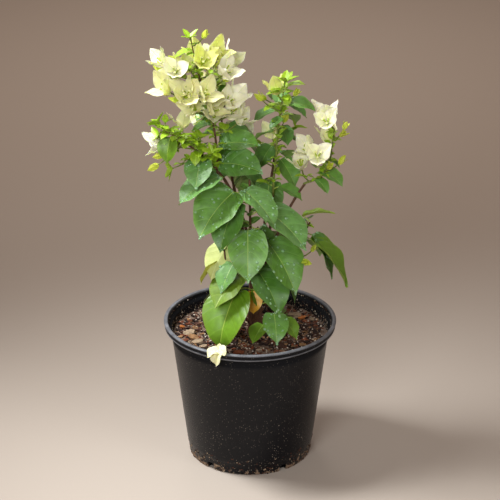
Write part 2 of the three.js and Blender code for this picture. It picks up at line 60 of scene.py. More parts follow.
CLEAR = 0.3
POT = {"height": 197, "base_radius": 83.5, "taper": 0.132, "wall": 1.8, "floor": 2.6, "ring": 17}
LIP = {"radius": 117.3, "inner": 111.7, "skirt": 115.9, "depth": 9, "throat": 7}
DRAIN = {"count": 5, "first": -129.5, "width": 12, "height": 9.5, "depth": 16}
SOIL = {"level": 175, "flat_radius": 15, "bump": 2.2}
TRUNK = {"foot": (8, 2), "lean": (-2, -2), "height": 39, "radii": (13.5, 11.6, 10, 9.6, 10.4, 10.2)}
BOUGH_RING = 7.2
BOUGH_STEP = 18
STEM_STEP = 22
TWIG = {"radius": 1, "bend": 10}
SIDE_TWIG = {"length": 18, "rise": 20, "turn": 80, "share": 0.3}
LEAF = {"width": 0.8, "fold": 14, "arch": 36, "level": 0.2, "large": 48, "middling": 27}
LEAF["outline"] = (0.42, 1.8, 1.1)  # how blunt the foot is, how full the middle, how drawn out the tip
PETIOLE = {"share": 0.28, "radius": 0.9, "lift": 30, "droop": 0.3}
BRACT = {"length": 32, "width": 0.7, "lean": 44, "fold": 8, "cup": 0.18, "hub": 1.8, "jitter": 6}
BUD = {"length": 14, "lean": 27, "fold": 5, "cup": 0.16, "hub": 1.3}
SPROUT = {"length": 17, "lean": 58, "fold": 10, "cup": -0.06, "hub": 1.3, "jitter": 18}

# Name, side of the trunk it stands on, heading, rise from foot to tip, length, radius from foot to tip.
BOUGHS = [
    ("bough_left", 205, [201], [98, 80, 60], 198, [2.5, 1.9]),
    ("bough_top", 160, [180], [97, 76, 58], 186, [2.4, 1.9]),
    ("bough_back_left", 115, [132], [84, 70], 168, [2.3, 1.8]),
    ("bough_back_right", 70, [58], [82, 74], 158, [2.3, 1.8]),
    ("bough_centre", 25, [6], [80, 84, 86], 162, [2.3, 1.8]),
    ("bough_right", -20, [2], [82, 74, 56], 190, [2.3, 1.6]),
    ("bough_low_right", -65, [-12], [66, 58], 84, [2.2, 1.7]),
    ("bough_front", -110, [-95], [64], 38, [2.5, 2.3]),
]

# leaves: share of the stem, petiole's heading, blade's heading, pitch, length, roll, tint.
# twigs: share of the stem, heading, rise, length, what the tip carries, how many, tint.
# rule: leaves set round the stem, the first one's heading, pitch and size from foot to tip, tint.
# These are only grown here: curls, leaves by number whose tip bends under and by how much; more, small
# leaves set as the others are; tufts, from which to which share of the stem, how many, size and tint.
MASSES = {
    "leaves_front": {
        "foot": "bough_front",
        "heading": [-120],
        "rise": [88],
        "length": 160,
        "radius": [2.2, 1.3],
        "leaves": [
            (0.9, -115, -35, -28, 67, 0, "glaucous"),
            (0.84, 180, -138, -28, 80, -14, "mature"),
            (0.78, -160, -125, -48, 70, 0, "deep"),
            (0.68, -5, -30, -26, 78, 0, "glaucous"),
            (0.56, -100, -90, -44, 72, 0, "mature"),
            (0.4, -5, -45, -38, 82, 0, "mature"),
            (0.2, -70, -50, -36, 74, 0, "deep"),
            (0.0, -142, -122, -46, 90, 0, "bright"),
            (0.54, 10, -20, -56, 46, 0, "deep"),
            (0.14, 0, -16, -48, 50, 0, "deep"),
            (0.6, 175, -170, -50, 48, 0, "deep"),
        ],
        "curls": {7: 70},
        "tufts": (0.2, 0.96, 7, 15, "mature"),
        "more": [
            (0.0, -80, -84, -62, 32, 0, "old"),
            (0.0, -60, -60, -50, 26, 0, "bright"),
        ],
        "twigs": [],
    },
    "leaves_left": {
        "foot": "bough_left",
        "heading": [197],
        "rise": [58, 42, 34],
        "length": 112,
        "radius": [1.8, 0.9],
        "leaves": [
            (0.3, -160, -100, -28, 46, 0, "glaucous"),
            (0.02, -110, -155, -16, 66, 0, "glaucous"),
            (0.2, -155, -145, -46, 34, 0, "mature"),
            (0.82, -150, -115, -60, 35, 0, "bright"),
            (0.7, 100, 130, -10, 30, 0, "young"),
            (0.5, 80, 95, -16, 36, 0, "mature"),
        ],
        "twigs": [
            (0.9, 150, 30, 24, "sprout", 1, "young"),
            (1, 84, 46, 11, "sprout", 1, "young"),
            (0.56, -172, 22, 50, "sprout", 1, "young"),
            (0.6, 20, 48, 16, "sprout", 1, "young"),
            (0.8, 173, -24, 20, "bloom", 1, "ivory"),
            (0.7, 165, -34, 36, "bud", 1, "lime"),
            (0.76, 168, -50, 48, "bud", 1, "lime"),
            (0.72, 95, 24, 24, "bloom", 1, "cream"),
            (0.5, -175, -34, 40, "sprout", 1, "young"),
            (0.36, -60, 40, 22, "sprout", 1, "young"),
        ],
        "more": [(0.5, -110, -95, -40, 20, 0, "young")],
        "tufts": (0.12, 0.98, 15, 15, "young"),
    },
    "blossom_top": {
        "foot": "bough_top",
        "heading": [180],
        "rise": [92, 86, 74, 76, 82],
        "length": 206,
        "radius": [1.8, 0.8],
        "leaves": [
            (0.2, 75, -10, 12, 56, 24, "mature"),
            (0.12, -70, -20, 4, 60, 30, "deep"),
            (0.66, -95, -25, 0, 24, 0, "deep"),
            (0.4, -110, -165, -6, 28, 0, "mature"),
            (0.9, -180, -170, -16, 22, 0, "young"),
            (0.3, 120, 130, -20, 42, 0, "mature"),
            (0.5, 60, 70, -10, 34, 0, "mature"),
        ],
        "twigs": [
            (0.7, -170, 28, 54, "bloom", 2, "ivory"),
            (0.62, 170, 26, 62, "bud", 2, "lime"),
            (0.56, -155, 22, 56, "bloom", 2, "cream"),
            (0.76, 165, 24, 30, "bud", 1, "lime"),
            (0.68, 130, 30, 24, "bloom", 2, "cream"),
            (0.8, -70, 26, 22, "bloom", 1, "lemon"),
            (0.94, 10, 36, 17, "bud", 1, "lime"),
            (0.72, 25, 22, 38, "bloom", 2, "ivory"),
            (0.82, -30, 28, 30, "bloom", 1, "lemon"),
            (0.7, -40, 24, 42, "bloom", 1, "ivory"),
            (0.66, -30, 24, 36, "bud", 2, "lime"),
            (0.58, -130, 26, 38, "bloom", 2, "cream"),
            (0.5, -170, 20, 42, "bud", 2, "lime"),
            (0.48, -120, 22, 38, "bloom", 2, "cream"),
            (0.54, -80, 26, 24, "bloom", 1, "ivory"),
            (0.5, -45, 28, 34, "bloom", 2, "ivory"),
            (0.42, -85, 30, 30, "bloom", 2, "ivory"),
            (0.34, -10, 28, 34, "bloom", 1, "ivory"),
            (0.74, 100, 30, 24, "bloom", 1, "lemon"),
            (0.5, 80, 34, 34, "bloom", 2, "cream"),
            (0.97, -140, 64, 6, "sprout", 1, "young"),
        ],
        "tufts": (0.16, 0.98, 13, 11, "young"),
    },
    "shoot_centre": {
        "foot": "bough_centre",
        "heading": [0],
        "rise": [90, 84, 88, 80, 84],
        "length": 154,
        "radius": [1.7, 0.8],
        "leaves": [
            (0.82, -5, -15, -4, 38, 12, "mature"),
            (0.7, -55, -145, -24, 24, 0, "deep"),
            (0.71, 10, -15, 18, 16, 0, "young"),
            (0.93, -175, 170, -10, 20, 0, "young"),
            (0.9, -20, -75, -36, 16, 0, "young"),
            (0.97, -10, -10, 20, 24, 0, "young"),
            (0.05, -15, -25, -14, 36, 0, "mature"),
            (0.07, -175, -160, 28, 22, 0, "young"),
            (0.35, 60, 70, -24, 40, 0, "mature"),
            (0.54, 150, 140, -20, 32, 0, "mature"),
        ],
        "twigs": [
            (0.77, 170, 28, 27, "bud", 1, "lime"),
            (0.86, 130, 40, 10, "bloom", 1, "lemon"),
            (0.42, 108, 30, 18, "bloom", 1, "cream"),
            (0.56, 60, 32, 20, "bud", 1, "lime"),
            (0.86, -15, 30, 18, "bud", 1, "lime"),
            (1, 80, 70, 5, "sprout", 1, "young"),
        ],
        "tufts": (0.1, 0.98, 13, 11, "young"),
    },
    "blossom_right": {
        "foot": "bough_right",
        "heading": [0],
        "rise": [4, 60, 84, 84],
        "length": 92,
        "radius": [1.5, 0.8],
        "leaves": [
            (0.24, 85, -30, -14, 38, 0, "mature"),
            (0.5, 95, -15, -28, 20, 0, "mature"),
            (0.1, -20, -40, -28, 26, 0, "mature"),
            (0.4, 120, 110, -20, 30, 0, "mature"),
        ],
        "twigs": [
            (0.5, -170, 28, 28, "bloom", 2, "ivory"),
            (0.06, -135, 56, 26, "bloom", 1, "ivory"),
            (1, 175, 60, 14, "bloom", 2, "ivory"),
            (0.86, -20, 24, 10, "bud", 2, "lime"),
            (0.34, -60, 34, 12, "bud", 2, "lime"),
            (0.6, 100, 34, 22, "bloom", 1, "cream"),
        ],
        "tufts": (0.1, 0.98, 8, 11, "young"),
    },
    "leaves_low_right": {
        "foot": "bough_low_right",
        "heading": [-6, 4],
        "rise": [54, 66],
        "length": 64,
        "radius": [1.6, 1],
        "leaves": [
            (0.7, -50, -26, -54, 66, -15, "deep"),
            (0.6, -60, -14, -42, 84, -10, "bright"),
            (1, 165, -2, 16, 44, -14, "young"),
            (0.4, 60, 40, -34, 50, 0, "mature"),
            (0.9, 100, 110, -24, 40, 0, "mature"),
        ],
        "twigs": [(0.3, -60, -20, 24, "bud", 2, "lime")],
        "tufts": (0.3, 0.98, 4, 10, "young"),
    },
    "skirt_left": {
        "foot": (-2.5, -5.4, 195.3),
        "heading": [214],
        "rise": [46, 78, 84],
        "length": 124,
        "radius": [1.8, 1.1],
        "leaves": [
            (0.66, -20, -130, -24, 60, 0, "olive"),
            (0.98, 60, -135, -38, 57, 150, "pale"),
            (0.82, -30, -125, -40, 44, 0, "glaucous"),
            (0.44, 150, 140, -40, 46, 0, "mature"),
        ],
        "more": [(0.8, 178, -165, -36, 38, 40, "curled")],
        "twigs": [],
    },
    "skirt_right": {
        "foot": (14.6, -6.1, 187.3),
        "heading": [-46, -38],
        "rise": [22, 40, 52],
        "length": 62,
        "radius": [1.6, 1],
        "leaves": [
            (0.8, -160, -84, -30, 46, 0, "mature"),
            (0.2, -120, -120, -18, 34, 0, "bright"),
            (0.6, -30, -40, -34, 34, 0, "bright"),
        ],
        "twigs": [],
    },
    "leaves_back_left": {
        "foot": "bough_back_left",
        "heading": [128, 140],
        "rise": [70, 78, 84],
        "length": 150,
        "radius": [1.7, 0.9],
        "rule": (14, 60, [-50, -8], [60, 26], ["mature", "deep", "glaucous"]),
        "leaves": [],
        "twigs": [
            (0.5, 150, 34, 34, "bloom", 2, "ivory"),
            (0.72, 90, 40, 28, "bloom", 2, "cream"),
            (1, 120, 66, 10, "bloom", 2, "lemon"),
        ],
        "tufts": (0.3, 0.98, 8, 12, "young"),
    },
    "leaves_back_right": {
        "foot": "bough_back_right",
        "heading": [58, 48],
        "rise": [74, 76, 82],
        "length": 138,
        "radius": [1.7, 0.9],
        "rule": (15, 130, [-50, -8], [58, 24], ["deep", "mature", "glaucous"]),
        "leaves": [],
        "twigs": [
            (0.4, 160, 24, 50, "bloom", 2, "ivory"),
            (0.48, 30, 30, 34, "sprout", 1, "young"),
            (0.76, 100, 40, 26, "bud", 2, "lime"),
            (1, 60, 66, 10, "sprout", 1, "young"),
        ],
        "tufts": (0.3, 0.98, 8, 12, "young"),
    },
    "skirt_back": {
        "foot": (8, 12, 199.3),
        "heading": [84, 92],
        "rise": [40, 66, 76],
        "length": 120,
        "radius": [1.8, 1.1],
        "rule": (10, 20, [-48, -40], [62, 70], ["mature", "olive", "deep"]),
        "leaves": [],
        "twigs": [],
    },
}
FIRST_SEED = 101  # the first mass's; each later mass has the next
LITTER_SEED, CRUMB_SEED, WALL_SEED, FALLEN_SEED = 21, 31, 41, 51
GOLDEN_ANGLE = 137.5


# ---------------------------------------------------------------- colours


def linear(hex_colour):
    """An sRGB hex colour as linear red, green, blue and alpha."""
    shares = [int(hex_colour[i : i + 2], 16) / 255 for i in (1, 3, 5)]
    return [s / 12.92 if s <= 0.04045 else ((s + 0.055) / 1.055) ** 2.4 for s in shares] + [1.0]


# Upper face, side veins, midrib and underside of a leaf of each age.
LEAF_TINTS = {
    "mature": ("#68993a", "#72a245", "#a3bd62", "#93b262"),
    # This tint is the mature green made paler and bluer: a painted sheen of the sky on the leaves that carry
    # it.
    "glaucous": ("#72a353", "#7cab5c", "#adc676", "#98b770"),
    "deep": ("#568730", "#608f3b", "#8cac55", "#82a456"),
    # This tint is darkened to an olive leaf's look in shade, so painted shade lies over its own olive green.
    "olive": ("#6f8c22", "#7a9632", "#a9bb56", "#98ab50"),
    "bright": ("#678e1c", "#6d9422", "#a0b748", "#98b344"),
    "young": ("#96ba24", "#a0c232", "#b9d04c", "#abc840"),
    "pale": ("#b0ba60", "#bac46e", "#d0d78c", "#c2ca78"),
    "old": ("#f0b02a", "#eebb4c", "#e8c66a", "#ecb840"),
    "curled": ("#bfc944", "#cbca54", "#dda044", "#d0cc58"),
}
# Bract and its veins.
BRACT_TINTS = {
    "ivory": ("#faf8d2", "#dfe198"),
    "cream": ("#f3f1b4", "#d7dc80"),
    "lemon": ("#e6e98c", "#c6d156"),
    "lime": ("#c9d548", "#a6bb34"),
}
CHIP_TINTS = {
    "tan": ["#a37a54"],
    "red": ["#7d452c"],
    "brown": ["#54362a"],
    "dark": ["#2e1e18"],
    "buff": ["#a38c72"],
    "rust": ["#c07238"],
}


# ---------------------------------------------------------------- settings


def colour_prop(name, hex_colour, description):
    return FloatVectorProperty(
        name=name, description=description, subtype="COLOR", size=4, min=0, max=1, default=linear(hex_colour)
    )


def length_prop(name, millimetres, least, most, description):
    return FloatProperty(
        name=name,
        description=description,
        default=millimetres * MM,
        min=least * MM,
        max=most * MM,
        unit="LENGTH",
    )


def share_prop(name, share, most, description):
    return FloatProperty(
        name=name, description=description, default=share, min=0, max=most, subtype="FACTOR"
    )


def count_prop(name, count, description):
    return IntProperty(name=name, description=description, default=count, min=0, max=5000)


def angle_prop(name, degrees, description):
    return FloatProperty(
        name=name, description=description, default=math.radians(degrees), unit="ROTATION"
    )


def power_prop(name, watts, description):
    return FloatProperty(name=name, description=description, default=watts, min=0, unit="POWER")


class PotSettings(bpy.types.PropertyGroup):
    """Sizes and colours of the nursery pot."""

    bead: length_prop("Rim bead", 2.6, 1, 6, "Height of the rolled bead round the rim")
    groove: length_prop("Rim groove", 1.3, 0, 3, "Depth of the groove under the bead")
    crumbs: count_prop("Soil crumbs", 620, "Crumbs of dried soil on the wall's foot")
    crust_height: length_prop("Crust height", 24, 0, 100, "How far dried soil has splashed up the wall")
    speck_height: length_prop("Speck height", 110, 0, 200, "How far up the wall specks of perlite are thick")
    plastic: colour_prop("Plastic", "#090a0f", "Black polypropylene")
    # Painted highlight: this grey, laid along the rim's bead and lip edge, stands for the shine of the rim.
    rim_highlight_grey: colour_prop("Scuffed edge", "#727378", "Polypropylene rubbed grey along the rim")
    crust: colour_prop("Dried soil", "#86705d", "Soil splashed on the wall's foot")


class SoilSettings(bpy.types.PropertyGroup):
    """The potting mix and what lies in it."""

    chips: count_prop("Bark chips", 2400, "Chips of pine bark")
    perlite: count_prop("Perlite", 620, "White grains")
    sticks: count_prop("Fibres", 130, "Splinters and fibres")
    wall_bits: count_prop("Wall bits", 2200, "Crumbs and grains stuck to the wall above the soil")
    earth: colour_prop("Earth", "#21150f", "Damp peat and compost")
    grain: colour_prop("Perlite", "#d8c8b6", "Expanded volcanic glass")


class PlantSettings(bpy.types.PropertyGroup):
    """Sizes and colours of bark, leaves and bracts."""

    leaf_thickness: length_prop("Leaf thickness", 0.45, 0.1, 2, "Thickness of a mature blade")
    bract_thickness: length_prop("Bract thickness", 0.28, 0.1, 1, "Thickness of a papery bract")
    pucker: share_prop("Pucker", 0.062, 0.2, "How far a blade bulges between veins, as a share of its width")
    ripple: share_prop("Ripple", 0.022, 0.1, "Wave of a blade's margin, as a share of its length")
    drops: count_prop("Water drops", 44, "Drops on each large leaf")
    bark: colour_prop("Bark", "#6d4630", "Young brown bark")
    green_wood: colour_prop("Green wood", "#7c8a36", "Bark that is still green")


class StageSettings(bpy.types.PropertyGroup):
    """Camera, lights and floor."""

    distance: FloatProperty(
        name="Camera distance", description="From the target to the camera", default=3, min=1, unit="LENGTH"
    )
    elevation: angle_prop("Camera elevation", 27, "Angle of the camera above the target")
    tilt: angle_prop("Camera tilt", 3.47, "How far the axis is turned up from the target")
    lens: FloatProperty(name="Lens", description="Focal length in millimetres", default=156.4, min=10)
    key: power_prop("Key light", 5.5, "Power of the window on the left")
    fill: power_prop("Fill light", 4.9, "Power of the soft box in front")
    back: power_prop("Back light", 0.7, "Power of the soft box behind")
    side: power_prop("Side light", 0.9, "Power of the soft box on the right")
    far: power_prop("Far light", 5.0, "Power over the floor behind")
    sky: FloatProperty(name="Ambient light", description="Strength of the even light", default=0.24, min=0)
    paper: colour_prop("Floor", "#b0a499", "Pale studio paper")
    ambient: colour_prop("Ambient colour", "#ffdfcc", "Light that comes from all round")


# ---------------------------------------------------------------- small helpers


def aim(heading, rise):
    """A unit vector along a heading and a rise."""
    level = math.cos(math.radians(rise))
    east = math.cos(math.radians(heading))
    north = math.sin(math.radians(heading))
    return np.array([level * east, level * north, math.sin(math.radians(rise))])


def unit(vector):
    return vector / np.linalg.norm(vector)


def mix(a, b, share):
    return a + (b - a) * share


def along(values, share):
    """The value of an evenly spaced list at a share of its length."""
    return float(np.interp(share, np.linspace(0, 1, len(values)), values))


def table_at(table, places, at):
    """Rows of a table of vectors, read between its places."""
    return np.stack([np.interp(at, places, table[:, k]) for k in range(3)], axis=-1)


def point_on(points, share):
    return table_at(points, np.linspace(0, 1, len(points)), share)


def seeded(seed):
    """Repeatable random numbers from 0 to 1, in the order that the part's source draws them."""
    state = seed & 0xFFFFFFFF

    def draw():
        nonlocal state
        state = (state + 0x6D2B79F5) & 0xFFFFFFFF
        t = ((state ^ (state >> 15)) * (1 | state)) & 0xFFFFFFFF
        t = ((t + ((t ^ (t >> 7)) * (61 | t))) & 0xFFFFFFFF) ^ t
        return (t ^ (t >> 14)) / 4294967296

    return draw


def smooth(points, per):
    """A denser line through the same points, as a Catmull-Rom spline."""
    ends = [2 * points[0] - points[1]], [2 * points[-1] - points[-2]]
    p = np.vstack([ends[0], points, ends[1]])
    line = []
    for i in range(1, len(p) - 2):
        for t in np.arange(per) / per:
            bend = 2 * p[i - 1] - 5 * p[i] + 4 * p[i + 1] - p[i + 2]
            twist = 3 * p[i] - p[i - 1] - 3 * p[i + 1] + p[i + 2]
            line.append(p[i] + ((p[i + 1] - p[i - 1]) * t + bend * t**2 + twist * t**3) / 2)
    return np.array([*line, points[-1]])


# ---------------------------------------------------------------- pieces


class Skin:
    """Points and faces of one piece as they are gathered, in millimetres."""

    def __init__(self):
        self.points = []
        self.faces = []
        self.finishes = []
        self.count = 0

    def add(self, points, faces, finishes):
        """faces index into points; finishes is one material name, or one for each face."""
        first = self.count
        self.points.append(np.asarray(points, float))
        self.faces += [tuple(first + i for i in face) for face in faces]
        self.finishes += [finishes] * len(faces) if isinstance(finishes, str) else finishes
        self.count += len(points)

    def mesh(self, name):
        made = bpy.data.meshes.new(name)
        made.from_pydata((np.vstack(self.points) * MM).tolist(), [], self.faces)
        return made


def add_object(name, data):
    made = bpy.data.objects.new(name, data)
    bpy.context.scene.collection.objects.link(made)
    return made


def make_piece(skin, name, nodes=(), sharp=50):
    """One joined mesh in metres that rides on the plant and stands for the named nodes."""
    mesh = skin.mesh(name)
    names = sorted(set(skin.finishes))
    for finish in names:
        mesh.materials.append(material(finish))
    index = {finish: i for i, finish in enumerate(names)}
    mesh.polygons.foreach_set("material_index", [index[finish] for finish in skin.finishes])
    mesh.shade_smooth()
    mesh.set_sharp_from_angle(angle=math.radians(sharp))
    mesh.update()
    piece = add_object(name, mesh)
    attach(piece, "root")
    if nodes:
        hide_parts(*nodes)
    return piece


def ring_faces(rings, count):
    """Quads between rings of count points that follow each other."""
    return [
        (a + k, a + (k + 1) % count, a + (k + 1) % count + count, a + k + count)
        for a in range(0, (rings - 1) * count, count)
        for k in range(count)
    ]


def closed_faces(rings, count):
    """The same, with a face over each end."""
    last = (rings - 1) * count
    return ring_faces(rings, count) + [tuple(range(count))[::-1], tuple(range(last, last + count))]


def fan(tip, first, count, flip=False):
    """Triangles from a tip to the ring of count points that starts at first."""
    steps = (1, 0) if flip else (0, 1)
    return [(tip, *(first + (k + step) % count for step in steps)) for k in range(count)]


def tube_points(points, radii, sides, relief=None):
    """Rings square to a line, carried along without twisting. relief(i, turn) scales a radius."""
    tangents = np.gradient(points, axis=0)
    tangents /= np.linalg.norm(tangents, axis=1)[:, None]
    across = np.array([1.0, 0, 0]) if abs(tangents[0][0]) < 0.9 else np.array([0, 1.0, 0])
    turns = np.arange(sides) * math.tau / sides
    rings = []
    for i, (point, tangent) in enumerate(zip(points, tangents)):
        across = unit(across - tangent * across.dot(tangent))
        up = np.cross(tangent, across)
        scale = np.array([relief(i, t) for t in turns]) if relief else np.ones(sides)
        wheel = np.outer(np.cos(turns) * scale, across) + np.outer(np.sin(turns) * scale, up)
        rings.append(point + wheel * radii[i])
    return np.vstack(rings)


def add_tube(skin, points, radii, sides, finish, relief=None):
    """A closed tube along a line."""
    skin.add(tube_points(points, radii, sides, relief), closed_faces(len(points), sides), finish)


LUMP = [(0, 0, 1)] + [
    (math.cos(math.radians(h)) * 0.894, math.sin(math.radians(h)) * 0.894, z)
    for z, first in ((0.447, 0), (-0.447, 36))
    for h in range(first, first + 360, 72)
] + [(0, 0, -1)]
LUMP_FACES = (
    fan(0, 1, 5)
    + [(1 + k, 6 + k, 1 + (k + 1) % 5) for k in range(5)]
    + [(1 + (k + 1) % 5, 6 + k, 6 + (k + 1) % 5) for k in range(5)]
    + fan(11, 6, 5, flip=True)
)


def add_lump(skin, centre, size, draw, finish, axes=None):
    """An irregular grain of three sizes; axes are the directions that they lie along."""
    rough = np.array(LUMP) * np.array([[0.75 + 0.5 * draw()] for _ in LUMP])
    directions = np.eye(3) if axes is None else np.array(axes)
    skin.add(centre + (rough * size) @ directions, LUMP_FACES, finish)


# ---------------------------------------------------------------- materials


def set_inputs(tree, node, inputs):
    for name, value in inputs.items():
        if isinstance(value, bpy.types.NodeSocket):
            tree.links.new(value, node.inputs[name])
        else:
            node.inputs[name].default_value = value


def add_node(tree, kind, inputs=None, **settings):
    """Adds a node, sets its properties, sets or links its inputs, and returns its outputs."""
    node = tree.nodes.new("ShaderNode" + kind)
    for name, value in settings.items():
        setattr(node, name, value)
    set_inputs(tree, node, inputs or {})
    return node.outputs


TIMES = {"operation": "MULTIPLY"}
LARGER = {"operation": "MAXIMUM"}
MIX_FACTOR, MIX_A, MIX_B, MIXED = 0, 6, 7, 2  # a colour mix node's sockets
# A map range node's inputs are its value (0), the limits that it reads between (1 and 2), and the two
# numbers that it spreads them to (3 and 4), which are 0 and 1 where none are given.


def speckle(tree, place, size_mm, low, high, detail=3):
    """A noise of a real grain size, spread between two limits so that it runs from 0 to 1."""
    grains = add_node(tree, "TexNoise", {"Vector": place, "Scale": 1 / (size_mm * MM), "Detail": detail})
    return add_node(tree, "MapRange", {0: grains["Fac"], 1: low, 2: high})[0]


def lay_over(tree, base, *layers):
    """Colours laid over a base one after another, each where its mask is."""
    for mask, colour in layers:
        sockets = {MIX_FACTOR: mask, MIX_A: base, MIX_B: colour}
        base = add_node(tree, "Mix", sockets, data_type="RGBA")[MIXED]
    return base


def shade(colour, factor):
    return [channel * factor for channel in colour[:3]] + [1.0]


def start_finish(name):
    """A new material, its tree, its shader and the place on the object."""
    made = bpy.data.materials.new(name)
    made.use_nodes = True
    tree = made.node_tree
    return made, tree, tree.nodes["Principled BSDF"], add_node(tree, "TexCoord")["Object"]


def dress(tree, shader, colour, relief, settings):
    """Gives a shader its colour, its relief (height, depth in millimetres, strength) and the rest."""
    height, depth, strength = relief
    bump = add_node(tree, "Bump", {"Height": height, "Distance": depth * MM, "Strength": strength})
    set_inputs(tree, shader, {"Base Color": colour, "Normal": bump["Normal"], **settings})


# Per finish: grain of the mottle in millimetres, how dark its darker patches are, roughness, grain and
# height of the bump in millimetres, and settings of the shader itself.
SURFACES = {
    # Waxy cuticle of a leaf: a soft satin gloss that takes the sky, over fine cell relief.
    "leaf": (9, 0.72, 0.4, 1.2, 0.07, {"Specular IOR Level": 0.48, "Subsurface Weight": 0.16}),
    # A young or withered leaf's cuticle is thinner, and the light comes through it.
    "young_leaf": (6, 0.86, 0.42, 1, 0.04, {"Subsurface Weight": 0.3}),
    # Veins are smooth cords without the blade's mottle.
    "vein": (6, 0.93, 0.45, 1, 0.02, {}),
    # A leaf's underside has no wax, so it is dull and pale.
    "underside": (7, 0.9, 0.6, 1, 0.05, {}),
    # A bract is dry, papery and thin enough to glow, with a crepe of fine veins.
    "bract": (5, 0.93, 0.6, 1.4, 0.14, {"Subsurface Weight": 0.4, "Specular IOR Level": 0.3}),
    # Pine bark is corky and flakes in layers, so it is dull and streaked.
    "chip": (4, 0.55, 0.88, 1.2, 0.35, {"Specular IOR Level": 0.25}),
}
SCATTER = {"Subsurface Radius": (0.6, 0.8, 0.3), "Subsurface Scale": 0.002}
WAX = {"patch": 20, "most": 0.3, "colour": "#7ea070"}  # dull blue-green wax and dried rain on a leaf


def organic(name, surface, colour):
    """A finish with a mottle and a fine bump in the object's own place."""
    made, tree, shader, place = start_finish(name)
    mottle, dark, roughness, pore, depth, extra = SURFACES[surface]
    layers = [(speckle(tree, place, mottle, 0.35, 0.65), colour)]
    if surface == "leaf":
        patches = {0: speckle(tree, place, WAX["patch"], 0.42, 0.66, 6), 1: WAX["most"]}
        layers.append((add_node(tree, "Math", patches, **TIMES)[0], linear(WAX["colour"])))
    tone = lay_over(tree, shade(colour, dark), *layers)
    scatter = SCATTER if "Subsurface Weight" in extra else {}
    pores = speckle(tree, place, pore, 0.3, 0.7, 2)
    dress(tree, shader, tone, (pores, depth, 0.6), {"Roughness": roughness, **scatter, **extra})
    return made


# Specks of perlite dust on the wall: spacing and size in millimetres, and the share of places left bare.
SPECKS = [(2.6, 0.6, 0.35), (6.5, 0.95, 0.55)]
SPECK_COLOUR = "#b9ad9e"
DUST_COLOUR = "#67625c"


